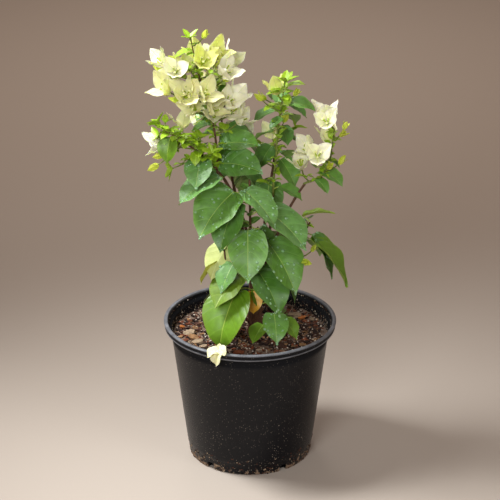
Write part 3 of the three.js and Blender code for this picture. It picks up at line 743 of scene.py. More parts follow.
def black_polypropylene():
    """Injection-moulded polypropylene: satin black, with a painted grey highlight along its rim, scuffed and
    specked on its wall, with a crust of dried soil at its foot."""
    pot = bpy.context.scene.bush_pot
    made, tree, shader, place = start_finish("black_polypropylene")
    across, _, height = add_node(tree, "SeparateXYZ", {"Vector": place})
    flat = add_node(tree, "VectorMath", {0: place, 1: (1, 1, 0)}, **TIMES)[0]
    radius = add_node(tree, "VectorMath", {0: flat}, operation="LENGTH")["Value"]

    # Broad smears of dust, 30 mm across, with upright scuffs 1.6 mm wide in them.
    tall = add_node(tree, "Mapping", {"Vector": place, "Scale": (1, 1, 0.12)})[0]
    scuffs = {0: speckle(tree, tall, 1.6, 0.64, 0.78, 4), 1: speckle(tree, place, 30, 0.45, 0.75)}
    dust = add_node(tree, "Math", scuffs, **TIMES)[0]

    # Specks lie in drifts 22 mm across that thicken towards the foot.
    layers = []
    for cell, size, bare in SPECKS:
        cells = add_node(tree, "TexVoronoi", {"Vector": place, "Scale": 1 / (cell * MM)})
        spot = add_node(tree, "MapRange", {0: cells["Distance"], 1: size / cell, 2: 0.5 * size / cell})[0]
        dealt = add_node(tree, "SeparateColor", {"Color": cells["Color"]})["Red"]
        kept = add_node(tree, "MapRange", {0: dealt, 1: bare, 2: bare + 0.5})[0]
        layers.append(add_node(tree, "Math", {0: spot, 1: kept}, **TIMES)[0])
    grains = add_node(tree, "Math", dict(enumerate(layers)), **LARGER)[0]
    foot = add_node(tree, "MapRange", {0: height, 1: pot.speck_height, 2: 0.0, 3: 0.45})[0]
    drifts = add_node(tree, "Math", {0: speckle(tree, place, 22, 0.3, 0.62), 1: foot}, **TIMES)[0]
    specks = add_node(tree, "Math", {0: grains, 1: drifts}, **TIMES)[0]

    # Painted highlight: the rim's bead and, outside, a band at the lip's lower edge are painted grey in
    # patches, where the rim catches the light.
    top = POT["height"]
    low_edge = top - LIP["depth"]
    bead = add_node(tree, "MapRange", {0: height, 1: (top - 3) * MM, 2: (top - 0.8) * MM})[0]
    lip_highlight_band = add_node(tree, "MapRange", {0: radius, 1: LIP["inner"] * MM, 2: (LIP["inner"] + 1) * MM})[0]
    for start, end in ((-0.2, 0.3), (2.4, 1.6)):
        limits = {0: height, 1: (low_edge + start) * MM, 2: (low_edge + end) * MM}
        lip_highlight_band = add_node(tree, "Math", {0: lip_highlight_band, 1: add_node(tree, "MapRange", limits)[0]}, **TIMES)[0]
    highlight_bands = add_node(tree, "Math", {0: bead, 1: lip_highlight_band}, **LARGER)[0]
    highlight_patches = add_node(tree, "MapRange", {0: speckle(tree, place, 12, 0.3, 0.7), 3: 0.5})[0]
    # edge is the mask of the rim's painted highlight.
    edge = add_node(tree, "Math", {0: highlight_bands, 1: highlight_patches}, **TIMES)[0]

    # The crust is thickest on the two sides of the foot, breaks up above, and is only outside.
    low = add_node(tree, "MapRange", {0: height, 1: pot.crust_height, 2: 0.0})[0]
    sideways = add_node(tree, "Math", {0: across}, operation="ABSOLUTE")[0]
    sides = add_node(tree, "MapRange", {0: sideways, 1: 30 * MM, 2: 76 * MM, 3: 0.62})[0]
    near_foot = add_node(tree, "Math", {0: low, 1: sides}, **TIMES)[0]
    over = add_node(tree, "Math", {0: near_foot, 1: speckle(tree, place, 6, 0.3, 0.7, 6)}, **TIMES)[0]
    thick = add_node(tree, "MapRange", {0: over, 1: 0.3, 2: 0.42})[0]
    wall = POT["base_radius"] * MM
    outside = add_node(tree, "MapRange", {0: radius, 1: wall - 3 * MM, 2: wall - 2 * MM})[0]
    crust = add_node(tree, "Math", {0: thick, 1: outside}, **TIMES)[0]

    # Inside, above the soil, a film of damp peat takes the shine off.
    level = SOIL["level"] * MM
    above = add_node(tree, "MapRange", {0: height, 1: level - 6 * MM, 2: level})[0]
    throat = LIP["inner"] * MM
    inside = add_node(tree, "MapRange", {0: radius, 1: throat - 1 * MM, 2: throat - 1.6 * MM})[0]
    film = add_node(tree, "Math", {0: above, 1: inside}, **TIMES)[0]
    dull = add_node(tree, "Math", {0: crust, 1: film}, **LARGER)[0]
    roughness = add_node(tree, "MapRange", {0: dull, 3: 0.34, 4: 0.92})[0]

    tone = lay_over(
        tree,
        list(pot.plastic),
        # The rim's painted highlight goes on first, under the dust, specks and crust.
        (edge, list(pot.rim_highlight_grey)),
        (dust, linear(DUST_COLOUR)),
        (specks, linear(SPECK_COLOUR)),
        (crust, list(pot.crust)),
    )
    # The mould's own grain is 0.4 mm; it is drawn at 0.9 mm so that it shows.
    lift = add_node(tree, "Math", {0: speckle(tree, place, 0.9, 0.3, 0.7, 2), 1: crust}, operation="ADD")[0]
    dress(tree, shader, tone, (lift, 0.12, 0.7), {"Roughness": roughness, "Specular IOR Level": 0.22})
    return made


def potting_mix():
    """Damp peat and compost: near-black crumbs with brown fibres, dull all over."""
    made, tree, shader, place = start_finish("potting_mix")
    earth = list(bpy.context.scene.bush_soil.earth)
    clods = (speckle(tree, place, 4, 0.35, 0.65, 6), earth)
    fibres = (speckle(tree, place, 1.5, 0.6, 0.74, 6), linear("#5b3f2c"))
    tone = lay_over(tree, shade(earth, 0.3), clods, fibres)
    relief = (speckle(tree, place, 2, 0.2, 0.8, 8), 1.6, 0.9)
    dress(tree, shader, tone, relief, {"Roughness": 0.95, "Specular IOR Level": 0.2})
    return made


def stem_bark(name, colour, pore_colour):
    """Bark of the year: thin and smooth, streaked along its length, with pale breathing pores."""
    made, tree, shader, place = start_finish(name)
    tall = add_node(tree, "Mapping", {"Vector": place, "Scale": (1, 1, 0.2)})[0]
    streaks = (speckle(tree, tall, 1.4, 0.35, 0.65, 4), colour)
    pores = (speckle(tree, place, 0.8, 0.66, 0.74, 1), linear(pore_colour))
    tone = lay_over(tree, shade(colour, 0.45), streaks, pores)
    dress(tree, shader, tone, (speckle(tree, tall, 0.9, 0.3, 0.7, 4), 0.25, 0.8), {"Roughness": 0.7})
    return made


def rain_water():
    """Rain water: smooth and lens-shaped. A drop gathers light on the leaf under it, so it is drawn as a
    paler green that is only partly clear."""
    made, tree, shader, _ = start_finish("rain_water")
    drop = {"Base Color": linear("#a3cc9a"), "Roughness": 0.04, "IOR": 1.333, "Transmission Weight": 0.35}
    set_inputs(tree, shader, drop)
    return made


# Surface, tints and column of the tints for each face of a leaf, bract or chip.
TINTED = {
    "leaf": ("leaf", LEAF_TINTS, 0),
    "vein": ("vein", LEAF_TINTS, 1),
    "midrib": ("vein", LEAF_TINTS, 2),
    "under": ("underside", LEAF_TINTS, 3),
    "bract": ("bract", BRACT_TINTS, 0),
    "rib": ("bract", BRACT_TINTS, 1),
    "chip": ("chip", CHIP_TINTS, 0),
}
THIN_LEAVES = ("young", "bright", "pale", "olive", "old", "curled")


def material(name):
    """The finish of that name, made the first time that it is asked for."""
    if name in bpy.data.materials:
        return bpy.data.materials[name]
    kind, _, tint = name.partition("-")
    if kind in TINTED:
        surface, tints, column = TINTED[kind]
        thin = kind == "leaf" and tint in THIN_LEAVES
        return organic(name, "young_leaf" if thin else surface, linear(tints[tint][column]))
    plant = bpy.context.scene.bush_plant
    # Perlite is popped volcanic glass: chalk white, full of bubbles and quite dull.
    makers = {
        "black_polypropylene": (black_polypropylene,),
        "potting_mix": (potting_mix,),
        "rain_water": (rain_water,),
        "perlite": (organic, name, "chip", list(bpy.context.scene.bush_soil.grain)),
        "petiole": (organic, name, "vein", linear("#a3b94e")),
        "brown_bark": (stem_bark, name, list(plant.bark), "#9a8464"),
        "green_wood": (stem_bark, name, list(plant.green_wood), "#b3ad74"),
    }
    maker, *given = makers[name]
    return maker(*given)


# ---------------------------------------------------------------- pot


def wall_radius(z):
    return POT["base_radius"] + POT["taper"] * z


def pot_profile():
    """Radius and height up the outside, over the rim and down the inside."""
    pot = bpy.context.scene.bush_pot
    top = POT["height"]
    bead = top - pot.bead / MM
    groove = pot.groove / MM
    skirt = top - LIP["depth"]
    shoulder = skirt - 1 - POT["wall"] / 4  # the wall meets the lip without growing thin
    ring = POT["ring"]
    outside = [
        (0, 0),
        (wall_radius(0) - 6, 0),
        (wall_radius(0) - 1.6, 0),
        (wall_radius(0) - 0.5, 0.5),
        (wall_radius(1.6), 1.6),
        (wall_radius(8), 8),
        (wall_radius(ring) - 0.1, ring - 0.4),
        (wall_radius(ring) + 0.15, ring),
        (wall_radius(ring) + 0.6, ring + 0.7),
        *[(wall_radius(z) + 0.6 * (skirt - z) / (skirt - ring), z) for z in range(24, 184, 8)],
        (wall_radius(skirt - 1.6) + 0.1, skirt - 1.6),
        (wall_radius(skirt - 1) + 0.5, skirt - 1),
        (LIP["skirt"] - 1, skirt - 0.5),
        (LIP["skirt"] - 0.2, skirt - 0.1),
        (LIP["skirt"] + 0.2, skirt + 0.6),
        (LIP["skirt"] + 0.2, skirt + 2),
        (LIP["skirt"] - 0.2, skirt + 2.4),
        (LIP["skirt"] - groove / 2, skirt + 2.6),
        (LIP["skirt"] - groove / 2, bead - 1),
        (LIP["skirt"] - groove, bead - 0.6),
        (LIP["skirt"] - groove, bead - 0.1),
        (LIP["radius"] - 0.9, bead + 0.1),
        (LIP["radius"] - 0.2, bead + 0.6),
        (LIP["radius"], bead + 1.2),
        (LIP["radius"] - 0.3, top - 0.6),
        (LIP["radius"] - 1.2, top),
    ]
    inner = [
        (LIP["inner"] + 2, top),
        (LIP["inner"] + 0.8, top - 0.1),
        (LIP["inner"] + 0.2, top - 0.8),
        (LIP["inner"] - 0.8, top - LIP["throat"] + 1.5),
        (LIP["inner"] - POT["wall"], top - LIP["throat"]),
        (LIP["inner"] - POT["wall"] - 0.9, top - LIP["throat"] - 0.8),
        (wall_radius(shoulder) - POT["wall"] + 0.5, shoulder + 0.6),
        *[(wall_radius(z) - POT["wall"], z) for z in (shoulder - 1, 160, 100, 40)],
        (wall_radius(POT["floor"]) - POT["wall"], POT["floor"]),
        (0, POT["floor"]),
    ]
    return outside + inner


def drain_cutter():
    """The five drain notches round the base as one mesh of arch-topped blocks."""
    half = DRAIN["width"] / 2
    top = DRAIN["height"]
    arch = [(-half, -2), (half, -2), (half, top - 3), (half - 0.9, top - 0.9), (half - 3, top)]
    arch += [(3 - half, top), (0.9 - half, top - 0.9), (-half, top - 3)]
    count = len(arch)
    skin = Skin()
    for i in range(DRAIN["count"]):
        heading = DRAIN["first"] + 360 / DRAIN["count"] * i
        out, side = aim(heading, 0), aim(heading + 90, 0)
        near, far = (wall_radius(0) + s * DRAIN["depth"] / 2 for s in (-1, 1))
        points = [out * r + side * y + np.array([0, 0, z]) for r in (near, far) for y, z in arch]
        skin.add(np.array(points), closed_faces(2, count), "black_polypropylene")
    return add_object("drain_cutter", skin.mesh("drain_cutter"))


POT_SEGMENTS = 160
POT_SHARP = 40  # edges of the moulding sharper than this stay crisp
# Crumbs on the foot lie in two drifts: headings, the right one's share, and how far they spread.
DRIFTS = {"left": -128, "right": -48, "right_share": 0.42, "spread": 150}
CRUMB_FINISHES = ("chip-brown", "chip-dark", "chip-buff", "chip-brown")
WALL_FINISHES = ("chip-brown", "chip-dark", "chip-buff", "perlite")


class BUSH_OT_make_pot(bpy.types.Operator):
    """Makes the moulded pot and the crumbs of dried soil on it"""

    bl_idname = "bush.make_pot"
    bl_label = "Make pot"

    def execute(self, context):
        profile = pot_profile()
        turns = np.arange(POT_SEGMENTS) * math.tau / POT_SEGMENTS
        body = profile[1:-1]
        points = [(r * math.cos(t), r * math.sin(t), z) for r, z in body for t in turns]
        last = (len(body) - 1) * POT_SEGMENTS
        points += [(0, 0, 0), (0, 0, POT["floor"])]
        faces = ring_faces(len(body), POT_SEGMENTS)
        faces += fan(len(points) - 2, 0, POT_SEGMENTS, flip=True) + fan(len(points) - 1, last, POT_SEGMENTS)
        skin = Skin()
        skin.add(np.array(points), faces, "black_polypropylene")
        pot = make_piece(skin, "pot_shell", ["pot"], sharp=POT_SHARP)
        self.cut_drains(context, pot)
        self.add_crumbs()
        return {"FINISHED"}

    def cut_drains(self, context, pot):
        cutter = drain_cutter()
        notches = pot.modifiers.new("drain_notches", "BOOLEAN")
        notches.object = cutter
        notches.solver = "EXACT"
        cut = bpy.data.meshes.new_from_object(pot.evaluated_get(context.evaluated_depsgraph_get()))
        pot.modifiers.clear()
        pot.data = cut
        cut.set_sharp_from_angle(angle=math.radians(POT_SHARP))
        bpy.data.objects.remove(cutter)

    def add_crumbs(self):
        """Crumbs thin out upwards, and most are on the left front and right of the foot."""
        settings = bpy.context.scene.bush_pot
        draw = seeded(CRUMB_SEED)
        skin = Skin()
        for _ in range(settings.crumbs):
            z = 1.2 + settings.crust_height / MM * draw() ** 2.2
            spread = DRIFTS["spread"] * draw() ** 1.3 * (1 if draw() > 0.5 else -1)
            heading = DRIFTS["left" if draw() > DRIFTS["right_share"] else "right"] + spread
            size = mix(0.4, 1.5, draw() ** 2)
            step = 360 / DRAIN["count"]
            from_notch = (heading - DRAIN["first"] + step / 2) % step - step / 2
            if z < DRAIN["height"] + 2 and abs(from_notch) < 6:
                continue
            out, side = aim(heading, 0), aim(heading + 90, 0)
            ledge = 0.5 if z > POT["ring"] else 0
            seat = out * (wall_radius(z) + ledge + size * 0.1) + np.array([0, 0, z])
            finish = CRUMB_FINISHES[int(4 * draw())]
            add_lump(skin, seat, (size * 0.4, size, size * 0.8), draw, finish, (out, side, (0, 0, 1)))
        make_piece(skin, "pot_dried_crumbs")


# ---------------------------------------------------------------- soil


def soil_height(x, y):
    """Clods 30 mm across under finer crumbs, level round the trunk's foot."""
    clods = noise.noise(Vector((x / 30, y / 30, 3)))
    crumbs = noise.noise(Vector((x / 7, y / 7, 8)))
    away = min(1, max(0, math.hypot(x - TRUNK["foot"][0], y - TRUNK["foot"][1]) / SOIL["flat_radius"] - 1))
    return SOIL["level"] + away * SOIL["bump"] * (0.8 * clods + 0.35 * crumbs)


def soil_spot(draw, reach=1.0):
    """A random place on the soil, clear of the trunk."""
    while True:
        radius = (wall_radius(SOIL["level"]) - POT["wall"] - 3) * reach * math.sqrt(draw())
        heading = 360 * draw()
        x, y, _ = aim(heading, 0) * radius
        if math.hypot(x - TRUNK["foot"][0], y - TRUNK["foot"][1]) > TRUNK["radii"][0] + 3:
            return np.array([x, y, soil_height(x, y)])


CHIP_SIDES = 6


def add_chip(skin, seat, length, width, thick, draw, finish):
    """A flake of bark: a ragged six-sided plate, lying at a tilt and partly sunk."""
    flat = aim(360 * draw(), (draw() - 0.5) * 44)
    side = unit(np.cross(aim(360 * draw(), 80), flat))
    up = np.cross(flat, side)
    rings = []
    for lift, swell in ((-0.5, 0.86), (0.5, 1.0)):
        for k in range(CHIP_SIDES):
            turn = math.tau * (k + 0.35 * draw()) / CHIP_SIDES
            reach = swell * (0.72 + 0.5 * draw())
            wobble = thick * (lift + 0.3 * (draw() - 0.5))
            spot = flat * math.cos(turn) * reach * length / 2 + side * math.sin(turn) * reach * width / 2
            rings.append(spot + up * wobble)
    crown = up * thick * (0.5 + 0.3 * draw())
    points = seat + np.array([*rings, -up * thick / 2, crown])
    ends = fan(2 * CHIP_SIDES, 0, CHIP_SIDES, flip=True) + fan(2 * CHIP_SIDES + 1, CHIP_SIDES, CHIP_SIDES)
    skin.add(points, ring_faces(2, CHIP_SIDES) + ends, finish)


# The largest chips lie where the bed is seen best: place, length and tint of each.
BIG_CHIPS = [
    (-93, 13, 11, "rust"),
    (-83, -6, 20, "buff"),
    (-76, -20, 18, "tan"),
    (-70, -34, 22, "buff"),
    (-63, -48, 16, "buff"),
    (-54, -60, 14, "tan"),
    (-88, -30, 12, "red"),
    (60, 50, 24, "buff"),
    (72, 42, 14, "rust"),
    (52, 30, 16, "red"),
    (70, -40, 13, "tan"),
]
# Tint of a chip, dealt by the number drawn: each goes up to its share.
CHIP_MIX = {"dark": 0.42, "brown": 0.68, "red": 0.88, "tan": 0.97, "buff": 1}
SOIL_SEGMENTS = 150
SOIL_RINGS = 44
# Heights of the bed's wall and how far inside the pot's it stands; it is hollow behind the notches.
BED_WALL = ((150, 0.05), (90, 0.05), (13, 0.05), (12, 28), (POT["floor"] + CLEAR, 28))


class BUSH_OT_make_soil(bpy.types.Operator):
    """Makes the potting mix with its bark chips, perlite and splinters"""

    bl_idname = "bush.make_soil"
    bl_label = "Make soil"

    def execute(self, context):
        settings = context.scene.bush_soil
        self.make_bed()
        draw = seeded(LITTER_SEED)
        litter = Skin()
        for i in range(settings.chips):
            length = 2.5 + 6.5 * draw() ** 2 + (10 * draw() if i % 30 == 0 else 0)
            seat = soil_spot(draw, 1.0 if length < 8 else 0.93)
            seat[2] += mix(0.2, 1.3, draw())
            pick = draw()
            tint = next(tint for tint, share in CHIP_MIX.items() if pick <= share)
            thick = length * mix(0.16, 0.34, draw())
            add_chip(litter, seat, length, length * mix(0.4, 0.8, draw()), thick, draw, "chip-" + tint)
        for x, y, length, tint in BIG_CHIPS:
            seat = np.array([x, y, soil_height(x, y) + 2.5])
            add_chip(litter, seat, length, length * 0.6, length * 0.16, draw, "chip-" + tint)
        for _ in range(settings.sticks):
            seat = soil_spot(draw, 0.9) + np.array([0, 0, 1.2])
            way = aim(360 * draw(), (draw() - 0.4) * 24) * mix(5, 13, draw())
            bend = aim(360 * draw(), 0) * 1.6
            line = np.array([seat - way / 2, seat + bend, seat + way / 2])
            add_tube(litter, line, [0.35, 0.6, 0.3], 4, "chip-tan" if draw() > 0.5 else "chip-brown")
        make_piece(litter, "bark_chips", ["soil"], sharp=25)

        grains = Skin()
        for _ in range(settings.perlite):
            seat = soil_spot(draw)
            size = mix(0.45, 1.5, draw() ** 2)
            seat[2] += 1.2 + size * 0.5
            add_lump(grains, seat, (size, size * mix(0.7, 1, draw()), size * 0.8), draw, "perlite")
        make_piece(grains, "perlite_grains", ["soil"], sharp=30)
        self.make_wall_bits()
        return {"FINISHED"}

    def make_bed(self):
        """The bed of earth, closed by its wall and floor, and hollow behind the drain notches."""
        edge = wall_radius(SOIL["level"]) - POT["wall"] - 0.05
        rings = []
        for ring in range(1, SOIL_RINGS + 1):
            radius = edge * ring / SOIL_RINGS
            for k in range(SOIL_SEGMENTS):
                x, y, _ = aim(360 * k / SOIL_SEGMENTS, 0) * radius
                rings.append((x, y, soil_height(x, y)))
        for z, inset in BED_WALL:
            radius = wall_radius(z) - POT["wall"] - inset
            for k in range(SOIL_SEGMENTS):
                rings.append(tuple(aim(360 * k / SOIL_SEGMENTS, 0) * radius + [0, 0, z]))
        count = SOIL_RINGS + len(BED_WALL)
        last = (count - 1) * SOIL_SEGMENTS
        faces = [face[::-1] for face in ring_faces(count, SOIL_SEGMENTS)]
        rings += [(0, 0, soil_height(0, 0)), (0, 0, POT["floor"] + CLEAR)]
        faces += fan(len(rings) - 2, 0, SOIL_SEGMENTS) + fan(len(rings) - 1, last, SOIL_SEGMENTS, flip=True)
        skin = Skin()
        skin.add(np.array(rings), faces, "potting_mix")
        make_piece(skin, "soil_bed", ["soil"], sharp=80)

    def make_wall_bits(self):
        """Crumbs and grains stuck to the wall above the soil."""
        draw = seeded(WALL_SEED)
        skin = Skin()
        throat = POT["height"] - LIP["throat"]
        for _ in range(bpy.context.scene.bush_soil.wall_bits):
            z = SOIL["level"] + 19 * draw() ** 1.5
            heading = 360 * draw()
            out, side = aim(heading, 0), aim(heading + 90, 0)
            size = mix(0.35, 1.4, draw() ** 2.5)
            wall = LIP["inner"] - 1.6 if z > throat else wall_radius(z) - POT["wall"]
            if throat - 4 < z < throat + 1:
                continue
            seat = out * wall + np.array([0, 0, z])
            finish = WALL_FINISHES[int(4 * draw())]
            add_lump(skin, seat, (size * 0.5, size, size), draw, finish, (out, side, (0, 0, 1)))
        make_piece(skin, "wall_bits")


# ---------------------------------------------------------------- limbs


def grow_limb(start, heading, rise, length, steps):
    """Points of a limb that turns from heading to heading and rise to rise."""
    points = [np.array(start, float)]
    for i in range(steps):
        share = (i + 0.5) / steps
        step = aim(along(heading, share), along(rise, share)) * (length / steps)
        points.append(points[i] + step)
    return np.array(points)


def trunk_middle(share):
    foot, lean = TRUNK["foot"], TRUNK["lean"]
    height = SOIL["level"] + CLEAR + TRUNK["height"] * share
    return np.array([foot[0] + lean[0] * share, foot[1] + lean[1] * share, height])


def grow_bough(bough):
    name, side, heading, rise, length, radius = bough
    start = trunk_middle(1) + aim(side, 0) * BOUGH_RING
    start[2] += CLEAR + radius[0] * abs(math.cos(math.radians(rise[0])))
    return grow_limb(start, heading, rise, length, max(3, round(length / BOUGH_STEP)))


BARK_SIDES = 12
TRUNK_SIDES = 40
TRUNK_DOME = {1.02: 8.6, 1.035: 6, 1.045: 2.5}  # share of the height past its top, and radius
GREEN_STEMS = ("shoot_centre", "blossom_right")
NODE_GAP = 21  # between the swollen joints that leaves grew from


def add_bark(skin, points, radii, finish, seed):
    """A limb's skin with streaked relief and swollen joints."""
    lengths = np.concatenate([[0], np.cumsum(np.linalg.norm(np.diff(points, axis=0), axis=1))])

    def relief(i, turn):
        streak = noise.noise(Vector((math.cos(turn) * 2, math.sin(turn) * 2, lengths[i] / 14 + seed * 7.3)))
        from_joint = abs((lengths[i] + seed * 5) % NODE_GAP - NODE_GAP / 2)
        joint = 0.22 * math.exp(-((from_joint / 2.2) ** 2))
        return 1 + 0.13 * streak + joint

    add_tube(skin, points, radii, BARK_SIDES, finish, relief)


class BUSH_OT_make_limbs(bpy.types.Operator):
    """Makes the trunk and the boughs with their bark"""

    bl_idname = "bush.make_limbs"
    bl_label = "Make trunk and boughs"

    def execute(self, context):
        self.make_trunk()
        for i, bough in enumerate(BOUGHS):
            points = grow_bough(bough)
            radii = [along(bough[5], s) for s in np.linspace(0, 1, len(points))]
            foot = trunk_middle(0.86) + aim(bough[1], 0) * BOUGH_RING * 0.8
            line = smooth(np.vstack([foot, points]), 5)
            spread = np.interp(np.linspace(0, 1, len(line)), np.linspace(0, 1, len(points)), radii)
            flare = 1 + 0.5 * np.exp(-np.arange(len(line)) / 4)
            skin = Skin()
            add_bark(skin, line, spread * flare, "brown_bark", i)
            make_piece(skin, bough[0] + "_bark", [bough[0]])
        return {"FINISHED"}

    def make_trunk(self):
        """A short fluted trunk with a flared foot and a domed top that the boughs leave."""
        shares = np.concatenate([np.linspace(0, 1, 34), list(TRUNK_DOME)])
        radii = np.interp(shares, (0, 0.12, 0.3, 0.6, 0.85, 1), TRUNK["radii"])
        radii[-len(TRUNK_DOME) :] = list(TRUNK_DOME.values())
        points = np.array([trunk_middle(s) for s in shares])

        def relief(i, turn):
            flutes = 0.07 * math.sin(3 * turn + 5 * shares[i]) * (1 - 0.6 * shares[i])
            ridges = 0.06 * abs(noise.noise(Vector((turn * 2.6, shares[i] * 1.6, 5))))
            fine = 0.035 * noise.noise(Vector((turn * 8, shares[i] * 5, 9)))
            return 1 + flutes + ridges + fine

        skin = Skin()
        add_tube(skin, points, radii, TRUNK_SIDES, "brown_bark", relief)
        make_piece(skin, "trunk_bark", ["trunk"])


# ---------------------------------------------------------------- blades


def leaf_outline(share):
    """Half the blade's width, as a share of the widest half: broad near the stalk, drawn out at the tip."""
    blunt, full, taper = LEAF["outline"]
    widest = (blunt / (blunt + full * taper)) ** (1 / full)

    def width_at(s):
        return s**blunt * (1 - s**full) ** taper

    drip_tip = 1 - 0.4 * math.exp(-(((share - 0.94) / 0.05) ** 2))
    return width_at(share) / width_at(widest) * drip_tip


def bract_outline(share):
    """Widest near the middle, with a round foot and a drawn-out point."""
    foot, tip = 0.55, 0.86
    peak = foot / (foot + tip)
    return (share / peak) ** foot * ((1 - share) / (1 - peak)) ** tip


def make_blade(outline, width, veins, spreads, rib=0.011, sweep=0.8, lobe=0.07, strip=0.005):
    """A blade of length 1. Its rows sweep forward from the midrib to the margin, as its veins do, and
    each vein and the midrib is a row of narrow faces of its own."""
    edges = [0.0, *veins, 1.0]
    rows = [(0.0, 0.0, False), (veins[0] * 0.16, 0.5, False)]
    for i, vein in enumerate(veins):
        rows.append(((edges[i] + vein) / 2, 1.0, False))
        rows += [(vein - strip, 0.0, True), (vein + strip, 0.0, False)]
    rows += [((edges[-2] + 1) / 2, 0.6, False), (0.96, 0.2, False), (1.0, 0.0, False)]
    columns = [(-1, s) for s in spreads[::-1]] + [(-1, 0.0), (1, 0.0)] + [(1, s) for s in spreads]
    lateral, reach, spread, hand, bulge = [], [], [], [], []
    foot = -0.004
    for share, swell, _ in rows:
        rib_here = rib * (1 - 0.7 * share)
        half = max(width / 2 * outline(share), rib_here * 1.5) if share < 1 else rib_here
        foot = max(foot + 0.004, share - sweep * half) if share < 1 else 1.0
        margin = share - lobe * math.sin(math.pi * min(share / 0.22, 1))
        for side, t in columns:
            lateral.append(side * (rib_here + (half - rib_here) * t))
            reach.append(mix(foot, margin, t**1.5))
            spread.append(t)
            hand.append(side)
            bulge.append(swell * math.sin(math.pi * t**0.8) * half)
    across, down = len(columns), len(rows)
    upper = np.arange(across * down).reshape(down, across)
    lower = upper.copy()
    inner = [(r, c) for r in range(1, down - 1) for c in range(1, across - 1)]
    for i, (r, c) in enumerate(inner):
        lower[r, c] = across * down + i
    copied = [upper[r, c] for r, c in inner]
    faces, kinds = [], []
    for r in range(down - 1):
        for c in range(across - 1):
            corners = [(r, c), (r, c + 1), (r + 1, c + 1), (r + 1, c)]
            middle = c == across // 2 - 1
            faces.append(tuple(int(upper[p]) for p in corners))
            kinds.append("midrib" if middle else "vein" if rows[r][2] else "blade")
            # The lower face starts at the same corner, so both split along the same diagonal.
            faces.append(tuple(int(lower[p]) for p in (corners[0], *corners[:0:-1])))
            kinds.append("midrib" if middle else "under")
    gather = list(range(across * down)) + [int(i) for i in copied]
    return {
        "lateral": np.array(lateral)[gather],
        "reach": np.array(reach)[gather],
        "spread": np.array(spread)[gather],
        "hand": np.array(hand)[gather],
        "bulge": np.array(bulge)[gather],
        "under": np.array([0.0] * (across * down) + [1.0] * len(copied)),
        "faces": faces,
        "kinds": kinds,
    }


LEAF_BLADES = {
    "large": make_blade(
        leaf_outline, LEAF["width"], [0.1, 0.24, 0.38, 0.52, 0.66, 0.8], [0.25, 0.5, 0.76, 1]
    ),
    "middling": make_blade(leaf_outline, LEAF["width"], [0.16, 0.38, 0.6, 0.8], [0.32, 0.66, 1]),
    "small": make_blade(leaf_outline, LEAF["width"], [0.3, 0.62], [0.5, 1], rib=0.02, strip=0.01),
}
BRACT_BLADE = make_blade(
    bract_outline, BRACT["width"], [0.2, 0.42, 0.64, 0.82], [0.3, 0.65, 1], sweep=0.7, lobe=0.03, rib=0.013
)
BUD_BLADE = make_blade(bract_outline, 0.6, [0.4, 0.7], [0.5, 1], sweep=0.7, lobe=0, rib=0.03, strip=0.01)
SPROUT_BLADE = make_blade(bract_outline, 0.48, [0.35, 0.68], [0.5, 1], lobe=0, rib=0.022, strip=0.01)


CURL_FROM = 0.72  # share of the blade where a curled tip starts to bend under


def arched_line(base, heading, pitch, roll, length, arch, twist=0.0, curl=0.0):
    """Centre, side and upward directions along a blade that arches down from its stalk to its tip."""
    shares = np.linspace(-0.1, 1, 23)

    def way_at(s):
        under = curl * max(0, (s - CURL_FROM) / (1 - CURL_FROM))
        return aim(heading, pitch - arch * (s - LEAF["level"]) - under)

    forward = np.array([way_at(s) for s in shares])
    halfway = (shares[1:] + shares[:-1]) / 2
    steps = [way_at(s) * (length * 0.05) for s in halfway]
    centres = np.vstack([np.zeros(3), np.cumsum(steps, axis=0)])
    centres += base - centres[2]
    turns = np.radians(roll + twist * shares)[:, None]
    sides = aim(heading - 90, 0) * np.cos(turns) + np.cross(forward, aim(heading - 90, 0)) * np.sin(turns)
    return shares, centres, sides, np.cross(sides, forward)


def petal_line(base, way, inward, side, length, cup):
    """The same for a petal that starts along way and bends in by its cup."""
    shares = np.linspace(-0.1, 1, 12)
    centres = base + np.outer(shares * length, way) + np.outer(cup * length * shares**2, inward)
    forward = way + np.outer(2 * cup * shares, inward)
    forward /= np.linalg.norm(forward, axis=1)[:, None]
    sides = np.tile(side, (len(shares), 1))
    return shares, centres, sides, np.cross(sides, forward)


def lay_blade(skin, blade, line, size, draw, finishes, wave=1.0):
    """Lays a blade along its line. size is its length, width scale, fold and thickness."""
    plant = bpy.context.scene.bush_plant
    length, width, fold, thick = size
    shares, centres, sides, normals = line
    lateral = blade["lateral"] * length * width
    reach = np.clip(blade["reach"], -0.1, 1)
    lift = np.abs(lateral) * math.sin(math.radians(fold))
    lift += blade["bulge"] * length * plant.pucker
    waves = mix(1.6, 2.6, draw())
    phase = np.where(blade["hand"] > 0, draw(), draw()) * math.tau
    lift += wave * plant.ripple * length * blade["spread"] ** 2 * np.sin(waves * math.tau * reach + phase)
    lift -= blade["under"] * thick
    spot = table_at(centres, shares, reach)
    spot += table_at(sides, shares, reach) * (lateral * math.cos(math.radians(fold)))[:, None]
    spot += table_at(normals, shares, reach) * lift[:, None]
    skin.add(spot, blade["faces"], [finishes[kind] for kind in blade["kinds"]])
    return spot


# ---------------------------------------------------------------- foliage


class Growth:
    """What one mass has grown so far, each kind in a skin of its own."""

    def __init__(self, hindrance):
        self.wood = Skin()
        self.leaves = Skin()
        self.bracts = Skin()
        self.dew = Skin()
        self.hindrance = hindrance

    def is_free(self, points):
        """Whether a line of points keeps off the pot, the soil, the limbs and the other masses."""
        return all(
            tree.find_nearest(Vector(point * MM), 2 * MM)[0] is None
            for point in points
            for tree in self.hindrance
        )


DROP_RINGS = ((1, 0), (0.86, 0.34), (0.5, 0.58))
DROP_SIDES = 7
DROP_TOP = 0.66
# Rain stays on leaves longer than this, of these tints; the setting counts drops on a leaf of full length.
WET = {"longer": 38, "full": 70, "tints": ("mature", "glaucous", "deep")}


